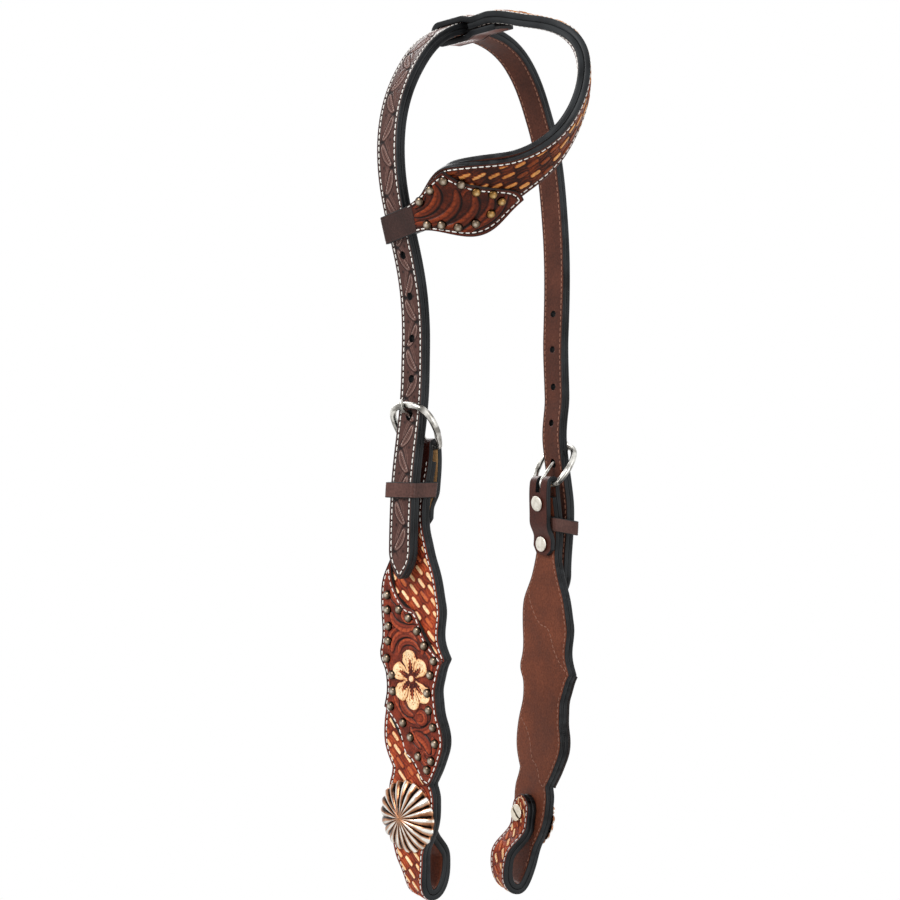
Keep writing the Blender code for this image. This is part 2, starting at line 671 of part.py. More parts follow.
def round_end(lengths, width, half):
    """Half width near a rounded end: lengths are measured from the end."""
    inside = np.clip(half - lengths, 0, half)
    rounded = np.sqrt(np.maximum(half**2 - inside**2, (half * END_CUT_SHARE) ** 2))
    return np.where(lengths < half, np.minimum(width, rounded), width)


def cheek_strip(side, place, knots_path, low, high):
    """Centres, directions across and half widths of a layer that follows the path between two lengths."""
    lengths = lengths_along(knots_path)
    fold = np.argmin(knots_path[:, 1])
    face = np.arange(len(knots_path)) < fold
    lowest = np.argmax(knots_path[:, 1])
    face &= np.arange(len(knots_path)) > lowest
    on_face = np.flatnonzero(face)
    face_downs = knots_path[on_face, 1][::-1]
    face_lengths = lengths[on_face][::-1]
    wanted = outline_stations(REAR_SHARES) + outline_stations(FRONT_SHARES)
    stations = list(np.interp(wanted, face_downs, face_lengths))
    half = BIT_STRAP_WIDTH / 2
    stations += [low + half * share for share in END_ROW_SHARES]
    stations.append(high - half * TAB_CORNER_SHARE)
    rows = rows_along(knots_path, stations + [low, high])
    rows = rows[(rows >= low) & (rows <= high)]
    keep = np.concatenate([[True], np.diff(rows) > MERGE_DISTANCE])
    rows = rows[keep]
    flat = at_lengths(knots_path, lengths, rows)
    down = flat[:, 1]
    rear = np.full(len(rows), half)
    front = np.full(len(rows), half)
    facing = (rows > lengths[on_face[0]]) & (rows < lengths[on_face[-1]])
    rear = np.where(facing, outline(REAR_SHARES, down), rear)
    front = np.where(facing, outline(FRONT_SHARES, down), front)
    centres = place(flat[:, 0], 0, down)
    across = place(flat[:, 0], CLEARANCE, down) - centres
    across /= np.linalg.norm(across, axis=1, keepdims=True)
    return rows, centres, across, rear, front


def cheek_layers(side, name, place):
    path = bezier_path(cheek_knots(side))
    lengths = lengths_along(path)
    half = BIT_STRAP_WIDTH / 2
    rows, centres, across, rear, front = cheek_strip(side, place, path, 0, lengths[-1])
    ends = [round_end(rows, width, half) for width in (rear, front)]
    clip = np.interp(lengths[-1] - rows, [0, half * TAB_CORNER_SHARE], [half * TAB_CORNER_WIDTH_SHARE, half])
    rear, front = (np.where(lengths[-1] - rows < half, np.minimum(width, clip), width) for width in ends)
    cheek = layer(
        f"{name}_cheek", strip_points(centres, across, rear, front, CHEEK_COLUMNS), LEATHER, cheek_leather
    )
    # The lining lies inside the outer layer, from the bit tab to just under the fold
    inner = left_of(path, -LAYER_STEP)
    fold = np.argmin(inner[:, 1])
    low_rows = np.flatnonzero((inner[:fold, 1] > LINING_TOP) | (np.arange(fold) < fold / 2))
    inner = inner[: low_rows[-1] + 1]
    inner_lengths = lengths_along(inner)
    rows, centres, across, rear, front = cheek_strip(side, place, inner, 0, inner_lengths[-1])
    rear, front = (round_end(rows, width, half) for width in (rear, front))
    lining = layer(
        f"{name}_cheek_lining", strip_points(centres, across, rear, front, CHEEK_COLUMNS), LEATHER,
        lining_leather,
    )
    return path, cheek, lining


def overlay_middle(place, rows, columns):
    """Rows and columns over the overlay, between its scrolled top and bottom lines."""
    across = np.linspace(0, 1, columns + 1)
    top = natural_curve(*np.array(OVERLAY_TOP_SHARES).T, across) * CHEEK_LENGTH
    bottom = natural_curve(*np.array(OVERLAY_BOTTOM_SHARES).T, across) * CHEEK_LENGTH
    down = top + rows[:, None] * (bottom - top)
    rear = outline(REAR_SHARES, down)
    front = outline(FRONT_SHARES, down)
    return place(OVERLAY_MIDDLE, rear - across * (rear + front), down)


def round_ring(frame, radii, turn, height):
    """A ring of points round the frame's Z axis."""
    return [frame @ Vector((r * math.cos(a), r * math.sin(a), height)) for r, a in zip(radii, turn)]


def stud_rings(origin, axis, side_hint):
    """A low eight-sided stud: rings from its sunk root to its flat top."""
    frame = frame_on(origin, axis, side_hint)
    root = -OVERLAY_LEATHER * STUD_ROOT_SHARE
    radius = STUD_DIAMETER / 2
    levels = (
        (radius, root),
        (radius, STUD_HEIGHT * (1 - STUD_SHOULDER_SHARE) / 2),
        (radius * STUD_SHOULDER_SHARE, STUD_HEIGHT * (1 - STUD_CROWN_SHARE / 2)),
        (radius * STUD_CROWN_SHARE, STUD_HEIGHT),
    )
    turn = (np.arange(STUD_SIDES) + 0.5) * math.tau / STUD_SIDES
    return [round_ring(frame, np.full(STUD_SIDES, width), turn, height) for width, height in levels]


def cheek_overlay(name, place):
    overlay = layer(
        f"{name}_overlay",
        overlay_middle(place, np.array(OVERLAY_ROW_SHARES), OVERLAY_COLUMNS),
        OVERLAY_LEATHER,
        overlay_leather,
    )
    spots = [(outline(REAR_SHARES, share * CHEEK_LENGTH) - STUD_INSET, share) for share in REAR_STUD_SHARES]
    spots += [
        (STUD_INSET - outline(FRONT_SHARES, share * CHEEK_LENGTH), share) for share in FRONT_STUD_SHARES
    ]
    spots += [(rear * CHEEK_WIDTH / 2, share) for rear, share in LINE_STUD_SHARES]
    face = CHEEK_FACE + CLEARANCE + OVERLAY_LEATHER
    made = []
    for rearward, share in spots:
        frame = frame_in(place, face, float(rearward), share * CHEEK_LENGTH, (1, 0))
        made.append(stud_rings(frame.translation, frame.col[2].to_3d(), frame.col[0].to_3d()))
    boolean(overlay, cut_with(f"{name}_studs", (), others=made), "UNION")
    return overlay


def concho(name, place):
    """A fluted dome with a flat back and a threaded socket that passes through the leather."""
    frame = frame_in(place, CHEEK_FACE + CLEARANCE, CONCHO_SETBACK, CONCHO_PLACE, (1, 0))
    turn = np.arange(CONCHO_STEPS) * math.tau / CONCHO_STEPS
    ripple = np.cos(CONCHO_FLUTES * turn)
    rings = []
    for radius_share, height_share in CONCHO_SHARES[1:]:
        fluting = 1 + CONCHO_FLUTE_DEPTH_SHARE * ripple * smooth_step(*CONCHO_FLUTE_SHARES, radius_share)
        radius = radius_share * CONCHO_DIAMETER / 2 * fluting / (1 + CONCHO_FLUTE_DEPTH_SHARE)
        height = height_share * CONCHO_HEIGHT
        rings.append(round_ring(frame, radius, turn, height))
    back = CONCHO_SHARES[-1][0] * CONCHO_DIAMETER / 2 * (1 + CONCHO_FLUTE_DEPTH_SHARE * ripple)
    back = back / (1 + CONCHO_FLUTE_DEPTH_SHARE)
    rings.append(round_ring(frame, back, turn, 0))
    for drop in (0, SOCKET_REACH):
        rings.append(round_ring(frame, np.full(CONCHO_STEPS, SOCKET_DIAMETER / 2), turn, -drop))
    dome = ringed(f"{name}_concho", rings, silver)
    bore_top = CONCHO_HEIGHT * BORE_DEPTH_SHARE
    bore = [
        (frame @ Matrix.Translation((0, 0, (bore_top - 2 * SOCKET_REACH) / 2)),
         SCREW_DIAMETER + 2 * BORE_CLEARANCE, bore_top + 2 * SOCKET_REACH, HOLE_SIDES)
    ]
    boolean(dome, cut_with(f"{name}_bore", bore))
    return dome, frame


def bit_screw(name, frame):
    """The slotted screw that closes the bit loop from inside."""
    tab_face = CHEEK_FACE + CLEARANCE - (BIT_TAB_MIDDLE - LEATHER / 2)
    under = -(tab_face + CLEARANCE)
    outer = under - SCREW_HEAD_HEIGHT
    tip = CONCHO_HEIGHT * BORE_DEPTH_SHARE - SCREW_END_GAP
    head = SCREW_HEAD_DIAMETER / 2
    chamfer = SCREW_HEAD_HEIGHT / 4
    profile = [
        (0, tip), (SCREW_DIAMETER / 2, tip), (SCREW_DIAMETER / 2, under), (head, under),
        (head, outer + chamfer), (head - chamfer, outer), (0, outer),
    ]
    screw = turned(f"{name}_bit_screw", profile, frame, SCREW_STEPS, nickel)
    slot = bpy.data.objects.new(f"{name}_slot", bpy.data.meshes.new(f"{name}_slot"))
    bm = bmesh.new()
    size = Matrix.Diagonal((SCREW_HEAD_DIAMETER * 2, SCREW_SLOT_WIDTH, SCREW_SLOT_DEPTH * 2, 1))
    turn = Matrix.Rotation(math.radians(SCREW_SLOT_TURN), 4, "Z")
    bmesh.ops.create_cube(bm, size=1, matrix=frame @ Matrix.Translation((0, 0, outer)) @ turn @ size)
    bm.to_mesh(slot.data)
    bm.free()
    cutters.objects.link(slot)
    slot.hide_render = True
    slot.display_type = "WIRE"
    boolean(screw, slot)
    return screw


def squared(value):
    """Swells a circle's sine or cosine towards a square's."""
    return math.copysign(abs(value) ** (2 / ARCH_FULLNESS), value)


def buckle_frame(name, place, shift):
    """A round-topped frame of bar stock, tilted outward, with a straight bar across its heel."""
    heel = (BUCKLE_HEEL_WIDTH - BAR_DIAMETER) / 2
    points = [(heel - BAR_FILLET, 0), (heel - BAR_FILLET / 3, BAR_FILLET / 4), (heel, BAR_FILLET)]
    turn = np.radians(np.linspace(-ARCH_OVERRUN, 180 + ARCH_OVERRUN, ARCH_STEPS + 1))
    points += [
        (ARCH_RADIUS * squared(math.cos(a)), ARCH_CENTRE + ARCH_RADIUS * squared(math.sin(a))) for a in turn
    ]
    points += [(-heel, BAR_FILLET), (BAR_FILLET / 3 - heel, BAR_FILLET / 4), (BAR_FILLET - heel, 0)]
    radii = [BAR_DIAMETER / 2] * 3 + [ARCH_DIAMETER / 2] * (ARCH_STEPS + 1) + [BAR_DIAMETER / 2] * 3
    rings = bar_rings(np.array(points), np.array(radii), closed=True)
    tilt = math.radians(BUCKLE_TILT)
    b = rings[..., 0]
    n = rings[..., 1] * math.sin(tilt) + rings[..., 2] * math.cos(tilt)
    s = rings[..., 2] * math.sin(tilt) - rings[..., 1] * math.cos(tilt)
    frame = ringed(f"{name}_buckle_frame", place(n, b + shift, s), nickel, closed=True)
    set_origin(frame, place(0, 0, 0))
    return frame


def tongue_path():
    turn = np.radians(np.linspace(TONGUE_EYE_START, TONGUE_EYE_END, TONGUE_EYE_STEPS))
    eye = [(TONGUE_EYE_RADIUS * math.cos(a), TONGUE_EYE_RADIUS * math.sin(a)) for a in turn]
    return np.array(eye + [(n * BUCKLE_HEIGHT, s * BUCKLE_HEIGHT) for n, s in TONGUE_SHARES])


def buckle_tongue(name, place):
    points = tongue_path()
    radii = np.full(len(points), TONGUE_DIAMETER / 2)
    radii[-1] *= TONGUE_TIP_SHARE
    rings = bar_rings(points, radii, sides=TONGUE_SIDES)
    tongue = ringed(f"{name}_buckle_tongue", place(rings[..., 0], rings[..., 2], rings[..., 1]), nickel)
    set_origin(tongue, place(0, 0, 0))
    return tongue


def rivet(name, place, path, down):
    """A post with a low cap at each end, square to the mean of the two leathers it joins."""
    fold = np.argmin(path[:, 1])
    ahead = tangents_along(path)
    lowest = np.argmax(path[:, 1])
    outer = lowest + np.argmin(np.abs(path[lowest:fold, 1] - down))
    tab = fold + np.argmin(np.abs(path[fold:, 1] - down))
    axis = np.array([-ahead[outer, 1], ahead[outer, 0]]) + np.array([ahead[tab, 1], -ahead[tab, 0]])
    axis /= np.linalg.norm(axis)
    frame = frame_in(place, path[tab, 0], 0, path[tab, 1], axis)
    inner_face = -(LEATHER / 2 + RIVET_STANDOFF)
    reach = path[outer] - path[tab]
    outer_face = (reach[0] + axis[1] * reach[1]) / axis[0] + LEATHER / 2 + RIVET_STANDOFF
    post = RIVET_POST_DIAMETER / 2
    cap = RIVET_CAP_DIAMETER / 2
    shoulder = cap * RIVET_SHOULDER_SHARE
    rim = RIVET_CAP_HEIGHT * RIVET_RIM_SHARE
    profile = [
        (0, outer_face + RIVET_CAP_HEIGHT), (shoulder, outer_face + RIVET_CAP_HEIGHT - rim / 2),
        (cap, outer_face + rim), (cap, outer_face), (post, outer_face), (post, inner_face), (cap, inner_face),
        (cap, inner_face - rim), (shoulder, inner_face - RIVET_CAP_HEIGHT + rim / 2),
        (0, inner_face - RIVET_CAP_HEIGHT),
    ]
    middle = (outer_face + inner_face) / 2
    hole = (
        frame @ Matrix.Translation((0, 0, middle)), RIVET_POST_DIAMETER + 2 * CLEARANCE,
        outer_face - inner_face + 2 * RIVET_STANDOFF, HOLE_SIDES,
    )
    return turned(name, profile, frame, RIVET_STEPS, nickel), hole


def crown_knots():
    """Knots in X and Z, from the near tip over the poll to the far tip."""
    knots = []
    for n, s, slope in (TAIL_TIP, TAIL_AT_KEEPER, TAIL_AT_BAR, TAIL_AT_ARCH):
        x, _, z = places[NEAR](n, 0, s)
        knots.append((x, z, 90 - slope))
    knots += [(x * CROWN_HALF_WIDTH, z * CROWN_DROP, turn) for x, z, turn in CROWN_SHARES]
    knots.append((FAR_CROWN_FOOT_SHARE * CROWN_HALF_WIDTH, FAR_FOOT_RISE - FAR_DROP, -90 - FAR_FOOT_SLOPE))
    for n, s, slope in (TAIL_AT_ARCH, TAIL_AT_BAR, TAIL_AT_KEEPER, TAIL_TIP):
        x, _, z = places[FAR](n, 0, s)
        knots.append((x, z, slope - 90))
    return knots


def crown_shape():
    """The crown's dense middle path in 3D, with the direction across it."""
    flat = bezier_path(crown_knots())
    lengths = lengths_along(flat)
    share = lengths / lengths[-1]
    top = share[np.argmax(flat[:, 1])]
    near_arch = np.interp(HOLD_RISE, flat[: len(flat) // 2, 1] + NEAR_DROP, share[: len(flat) // 2])
    far_arch = np.interp(-HOLD_RISE, -(flat[len(flat) // 2 :, 1] + FAR_DROP), share[len(flat) // 2 :])
    yaws = [HANG[NEAR]["yaw"]] * 2 + [CROWN_YAWS[NEAR], 0, CROWN_YAWS[FAR]] + [HANG[FAR]["yaw"]] * 2
    spots = [0, near_arch, near_arch + CROWN_YAW_SHARE, top, far_arch - CROWN_YAW_SHARE, far_arch, 1]
    yaw = np.radians(np.interp(share, spots, yaws))
    kernel = np.ones(YAW_SMOOTHING) / YAW_SMOOTHING
    yaw = np.convolve(np.pad(yaw, YAW_SMOOTHING // 2, mode="edge"), kernel, mode="valid")
    across = np.stack([np.sin(yaw), np.cos(yaw), np.zeros_like(yaw)], axis=1)
    sides = [(NEAR, flat[:, 0] < 0), (FAR, flat[:, 0] >= 0)]
    fore = np.zeros(len(flat))
    for side, which in sides:
        n = np.abs(flat[:, 0]) - HALF_SPAN
        down = -flat[:, 1] - DROPS[side]
        hold = smooth_step(-HOLD_RISE * 2, -HOLD_RISE, down)
        beside = places[side](n / math.cos(math.radians(HANG[side]["yaw"])), 0, down)[:, 1]
        fore = np.where(which, hold * beside + (1 - hold) * BAR_FORE[side], fore)
    middle_share = smooth_step(*CROWN_SHIFT_SHARES, share)
    crown_fore = (1 - middle_share) * BAR_FORE[NEAR] + middle_share * BAR_FORE[FAR]
    inner = (share > near_arch + CROWN_YAW_SHARE) & (share < far_arch - CROWN_YAW_SHARE)
    fore = np.where(inner, crown_fore, fore)
    points = np.stack([flat[:, 0], fore, flat[:, 1]], axis=1)
    return points, across


def crown_layers():
    """The crown strap's two layers, pointed at both tips and punched for the tongues."""
    points, across = crown_shape()
    lengths = lengths_along(points)
    ahead = tangents_along(points)
    across = across - np.sum(across * ahead, axis=1, keepdims=True) * ahead
    across /= np.linalg.norm(across, axis=1, keepdims=True)
    outward = np.cross(ahead, across) * CROWN_OUTWARD
    half = STRAP_WIDTH / 2
    stations = [POINT_LENGTH * share for share in POINT_ROW_SHARES]
    stations += [lengths[-1] - station for station in stations]
    rows = rows_along(points, stations)
    from_end = np.minimum(rows, lengths[-1] - rows)
    taper = np.clip(from_end / POINT_LENGTH, 0, 1)
    width = half * (POINT_TIP_SHARE + (1 - POINT_TIP_SHARE) * np.sin(taper * math.pi / 2) ** POINT_FULLNESS)
    made = []
    step = LAYER_STEP / 2
    for name, step, surface in (("crown_strap", step, strap_leather), ("crown_lining", -step, lining_leather)):
        centres = at_lengths(points + step * outward, lengths, rows)
        sideways = at_lengths(across, lengths, rows)
        sideways /= np.linalg.norm(sideways, axis=1, keepdims=True)
        middle = strip_points(centres, sideways, width, width, CROWN_COLUMNS)
        made.append(layer(name, middle, LEATHER, surface))
    return made, points, across, outward


def crown_holes(points, outward, across):
    """Round holes above each tongue, and the slanted ones that the tongues pass through."""
    pins = []
    slants = []
    for side in (NEAR, FAR):
        for hole in range(FREE_HOLES):
            depth = DROPS[side] + TONGUE_HOLE_DOWN - (hole + 1) * HOLE_PITCH
            half = len(points) // 2
            start = 0 if side == NEAR else half
            nearest = start + np.argmin(np.abs(points[start : start + half, 2] + depth))
            frame = frame_on(points[nearest], outward[nearest], across[nearest])
            pins.append((frame, HOLE_DIAMETER, STRAP_THICKNESS * 2, HOLE_SIDES))
        ends = np.array(TONGUE_HOLE_SHARES) * BUCKLE_HEIGHT
        middle = ends.mean(axis=0)
        reach = ends[1] - ends[0]
        length = float(np.linalg.norm(reach))
        frame = frame_in(places[side], float(middle[0]), 0, float(middle[1]), reach / length)
        pins.append((frame, TONGUE_DIAMETER + 2 * TONGUE_HOLE_CLEARANCE, length, HOLE_SIDES))
    return pins


def rounded_rectangle(width, height, corner, steps=3):
    """Points round a rectangle about the origin, as (across, up)."""
    points = []
    across = width / 2 - corner
    up = height / 2 - corner
    for quarter, (x, y) in enumerate(((across, up), (-across, up), (-across, -up), (across, -up))):
        for step in range(steps + 1):
            turn = math.radians(90 * (quarter + step / steps))
            points.append((x + corner * math.cos(turn), y + corner * math.sin(turn)))
    return points


def keeper(name, place, sag):
    """A leather loop whose inner wall lies along the cheek and whose outer wall lies along the tail."""
    inner = KEEPER_INNER_N + KEEPER_LEATHER / 2
    outer = TAIL_AT_KEEPER[0] + STRAP_THICKNESS / 2 + SLIDING_CLEARANCE + KEEPER_LEATHER / 2
    rings = []
    for level in (-0.5, 0.5):
        rise = level * KEEPER_HEIGHT
        ring = []
        for b, n in rounded_rectangle(KEEPER_SPAN, outer - inner, KEEPER_LEATHER):
            reach = n + (outer - inner) / 2
            share = reach / (outer - inner)
            slope = math.radians(KEEPER_TILT * (1 - share) + TAIL_AT_KEEPER[2] * share)
            down = KEEPER_PLACE + rise - reach * math.tan(math.radians(sag))
            ring.append(place(inner + reach + rise * math.tan(slope), b, down))
        rings.append(ring)
    bm = bmesh.new()
    corners = [[bm.verts.new(point) for point in ring] for ring in rings]
    count = len(corners[0])
    for corner in range(count):
        after = (corner + 1) % count
        bm.faces.new((corners[0][corner], corners[0][after], corners[1][after], corners[1][corner]))
    obj = add_mesh(f"{name}_keeper", bm, strap_leather)
    slab = obj.modifiers.new("thickness", "SOLIDIFY")
    slab.thickness = KEEPER_LEATHER
    slab.offset = 0
    slab.use_even_offset = True
    set_origin(obj, place(0, 0, KEEPER_PLACE))
    return obj


strap_leather = material("tooled_strap_leather", (0.10, 0.05, 0.035), 0.55)
lining_leather = material("lining_leather", (0.16, 0.07, 0.045), 0.6)
cheek_leather = material("tooled_cheek_leather", (0.42, 0.20, 0.09), 0.55)
overlay_leather = material("overlay_leather", (0.22, 0.06, 0.03), 0.5)
nickel = material("satin_nickel", (0.72, 0.70, 0.66), 0.3, 1.0)
silver = material("antique_silver", (0.62, 0.55, 0.48), 0.35, 1.0)

places = {side: hang(side) for side in (NEAR, FAR)}

(crown_strap, crown_lining), crown_points, crown_across, crown_outward = crown_layers()
crown_cutter = cut_with("crown_holes", crown_holes(crown_points, crown_outward, crown_across))
boolean(crown_strap, crown_cutter)
boolean(crown_lining, crown_cutter)

for side_name, side in SIDES.items():
    place = places[side]
    cheek_path, cheek, lining = cheek_layers(side, side_name, place)
    cheek_overlay(side_name, place)
    dome, dome_frame = concho(side_name, place)
    bit_screw(side_name, dome_frame)
    buckle_frame(side_name, place, BUCKLE_SHIFTS[side])
    buckle_tongue(side_name, place)
    keeper(side_name, place, KEEPER_DROOPS[side])
    upper, upper_hole = rivet(f"{side_name}_upper_rivet", place, cheek_path, UPPER_RIVET_PLACE)
    lower, lower_hole = rivet(f"{side_name}_lower_rivet", place, cheek_path, LOWER_RIVET_PLACE)
    socket_depth = 2 * (SOCKET_REACH + LEATHER)
    socket = (
        dome_frame @ Matrix.Translation((0, 0, -SOCKET_REACH / 2)), SOCKET_DIAMETER + 2 * SOCKET_CLEARANCE,
        socket_depth, HOLE_SIDES,
    )

    def slot_corners(signs, place=place):
        spots = []
        for x, y, z in signs:
            down = z * FOLD_SLOT_LENGTH / 2 - SLOT_RISE
            spots.append(place(x * FOLD_SLOT_REACH, y * FOLD_SLOT_WIDTH / 2, down))
        return spots

    holes = cut_with(f"{side_name}_cheek_holes", [upper_hole, lower_hole, socket], boxes=[slot_corners])
    boolean(cheek, holes)
    boolean(lining, holes)


def ear_crown_frame():
    """The point of the crown that the ear piece loops over, with its directions along, across and outward."""
    half = len(crown_points) // 2
    nearest = int(np.argmin(np.abs(crown_points[:half, 0] - EAR_CROWN_X)))
    ahead = tangents_along(crown_points)[nearest]
    rearward = np.array([0.0, 1.0, 0.0])
    outward = np.cross(ahead, rearward)
    outward /= np.linalg.norm(outward)
    return crown_points[nearest], ahead, rearward, outward


def on_crown(aside, rear, high):
    """Points beside the ear piece's crossing: along the crown, to its rear and out from it."""
    crossing = int(np.argmin(np.abs(crown_points[: len(crown_points) // 2, 0] - EAR_CROWN_X)))
    lengths = lengths_along(crown_points)
    where = lengths[crossing] + aside
    return (
        at_lengths(crown_points, lengths, where)
        + rear[..., None] * np.array([0.0, 1.0, 0.0])
        + high[..., None] * at_lengths(crown_outward, lengths, where)
    )


def wrap_frame():
    """The crown's middle where the slide wrap sits, with its directions along, to the rear and outward."""
    half = len(crown_points) // 2
    nearest = int(np.argmin(np.abs(crown_points[:half, 2] + WRAP_DROP)))
    ahead = tangents_along(crown_points)[nearest]
    rearward = crown_across[nearest] - math.tan(math.radians(WRAP_SLANT)) * ahead
    return crown_points[nearest], ahead, rearward, crown_outward[nearest]


def ear_spine():
    """Dense points of the lining's middle, with the directions across and outward."""
    crossing, ahead, rearward, outward = ear_crown_frame()
    ends = [crossing - rearward * EAR_STRAIGHT, crossing - rearward * EAR_LINING_END]
    clamp, clamp_ahead, clamp_rear, clamp_out = wrap_frame()
    clamp = clamp - clamp_out * EAR_STEP / 2
    starts = [clamp - clamp_rear * reach for reach in (EAR_START, EAR_START + WRAP_REACH)]
    body = np.array(EAR_SPINE_SHARES) * (CROWN_HALF_WIDTH, EAR_REACH, CROWN_DROP)
    knots = np.array([*starts, *body, *ends])
    turns = np.array([clamp_ahead, clamp_ahead, *EAR_ACROSS, -ahead, -ahead])
    places_along = lengths_along(knots)
    wanted = np.linspace(0, places_along[-1], EAR_STEPS)
    spine = natural_curve(places_along, knots, wanted)
    across = natural_curve(places_along, turns, wanted)
    along = tangents_along(spine)
    across -= np.sum(across * along, axis=1, keepdims=True) * along
    across /= np.linalg.norm(across, axis=1, keepdims=True)
    return spine, across, np.cross(along, across)


def ear_half_width(table, shares):
    return natural_curve(*np.array(table).T, shares) * EAR_WIDTH / 2


def ear_layers():
    """The ear piece's lining, and its outer layer that goes on round the crown and back under it."""
    spine, across, outward = ear_spine()
    lengths = lengths_along(spine)
    rows = rows_along(spine, pitch=EAR_ROW_PITCH)
    shares = rows / lengths[-1]
    outer_half = ear_half_width(EAR_OUTER_SHARES, shares)
    inner_half = ear_half_width(EAR_INNER_SHARES, shares)

    def strip(points, directions, where, reach):
        centres = at_lengths(points, reach, where)
        sideways = at_lengths(directions, reach, where)
        sideways /= np.linalg.norm(sideways, axis=1, keepdims=True)
        return centres, -sideways

    columns = np.linspace(0, 1, EAR_COLUMNS + 1)
    centres, sideways = strip(spine, across, rows, lengths)
    straight = strip_points(centres, sideways, outer_half, inner_half, EAR_COLUMNS)
    rear = rows - lengths[-1] - EAR_LINING_END
    aside = outer_half[:, None] - columns * (outer_half + inner_half)[:, None]
    curved = on_crown(aside, np.maximum(rear, -EAR_STRAIGHT)[:, None], np.zeros((len(rows), 1)))
    share = smooth_step(-EAR_STRAIGHT, -EAR_CLOSE, rear)[:, None, None]
    lining = layer("ear_lining", share * curved + (1 - share) * straight, LEATHER, lining_leather)
    crossing, ahead, rearward, upward = ear_crown_frame()
    knots = [
        (-EAR_STRAIGHT, EAR_STEP, 0), (-EAR_CLOSE, EAR_STEP, 0), (-EAR_OPEN, EAR_LOOP_RADIUS, 0),
        (EAR_LOOP_CENTRE, EAR_LOOP_RADIUS, 0), (EAR_LOOP_CENTRE + EAR_LOOP_RADIUS, 0, -90),
        (EAR_LOOP_CENTRE, -EAR_LOOP_RADIUS, -180), (-EAR_OPEN, -EAR_LOOP_RADIUS, -180),
        (-EAR_CLOSE, -EAR_STEP, -180), (-EAR_UNDER_END, -EAR_STEP, -180),
    ]
    round_crown = bezier_path(knots)
    loop = crossing + round_crown[:, :1] * rearward + round_crown[:, 1:] * upward
    free = lengths < lengths[-1] - (EAR_STRAIGHT - EAR_LINING_END) - MERGE_DISTANCE
    raised = spine[free] + EAR_STEP * outward[free]
    points = np.concatenate([raised, loop])
    directions = np.concatenate([across[free], np.broadcast_to(-ahead, loop.shape)])
    reach = lengths_along(points)
    rows = rows_along(points, pitch=EAR_ROW_PITCH)
    shares = np.clip(rows / lengths[-1], 0, 1)
    centres, sideways = strip(points, directions, rows, reach)
    outer_half = ear_half_width(EAR_OUTER_SHARES, shares)
    inner_half = ear_half_width(EAR_INNER_SHARES, shares)
    straight = strip_points(centres, sideways, outer_half, inner_half, EAR_COLUMNS)
    # Near the crown it follows the crown's own curve
    flat = at_lengths(round_crown, lengths_along(round_crown), rows - reach[len(raised)])
    aside = outer_half[:, None] - columns * (outer_half + inner_half)[:, None]
    curved = on_crown(aside, flat[:, :1], flat[:, 1:])
    over = smooth_step(-EAR_STRAIGHT, -EAR_CLOSE, flat[:, 0])
    past = rows > reach[len(raised)] + EAR_STRAIGHT
    share = np.where(past, 1.0, np.where(rows < reach[len(raised)], 0.0, over))[:, None, None]
    outer = layer("ear_piece", share * curved + (1 - share) * straight, LEATHER, strap_leather)
    return lining, outer


def ear_overlay():
    """The ear's overlay: it starts inside the wrap's edge and ends on a slanting scrolled line."""
    spine, across, outward = ear_spine()
    lengths = lengths_along(spine)
    columns = np.linspace(0, 1, EAR_OVERLAY_COLUMNS + 1)
    ends = natural_curve(*np.array(EAR_OVERLAY_END_SHARES).T, columns)
    rows = np.linspace(0, 1, EAR_OVERLAY_ROWS + 1)
    share = EAR_OVERLAY_START_SHARE + rows[:, None] * (ends - EAR_OVERLAY_START_SHARE)
    across_share = np.broadcast_to(columns, share.shape)
    return ear_surface(share, across_share, EAR_OVERLAY_RISE, spine, across, outward, lengths)


def ear_surface(share, across_share, rise, spine, across, outward, lengths):
    """Points above the ear's lining, at shares along it and across it from the outer edge."""
    where = share * lengths[-1]
    outer_half = ear_half_width(EAR_OUTER_SHARES, share)
    inner_half = ear_half_width(EAR_INNER_SHARES, share)
    reach = -outer_half + across_share * (outer_half + inner_half)
    return (
        at_lengths(spine, lengths, where)
        + rise * at_lengths(outward, lengths, where)
        + reach[..., None] * at_lengths(across, lengths, where)
    )


def ear_studs():
    """Rings of the studs on the ear's overlay."""
    spine, across, outward = ear_spine()
    lengths = lengths_along(spine)
    made = []
    for share, across_share in EAR_STUD_SHARES:
        rise = EAR_OVERLAY_RISE + OVERLAY_LEATHER / 2
        base = ear_surface(
            np.array([share]), np.array([across_share]), rise, spine, across, outward, lengths
        )[0]
        axis, aside = (at_lengths(column, lengths, share * lengths[-1]) for column in (outward, across))
        made.append(stud_rings(base, axis, aside))
    return made


def slide_pivot():
    """The point about which the ear piece turns as its loop and its wrap slide along the crown's arch."""
    crossing, _, _, upward = ear_crown_frame()
    clamp, _, _, outward = wrap_frame()
    sides = np.array([[upward[0], -outward[0]], [upward[2], -outward[2]]])
    reach = np.linalg.solve(sides, np.array([clamp[0] - crossing[0], clamp[2] - crossing[2]]))[0]
    return (crossing[0] + reach * upward[0], 0.0, crossing[2] + reach * upward[2])


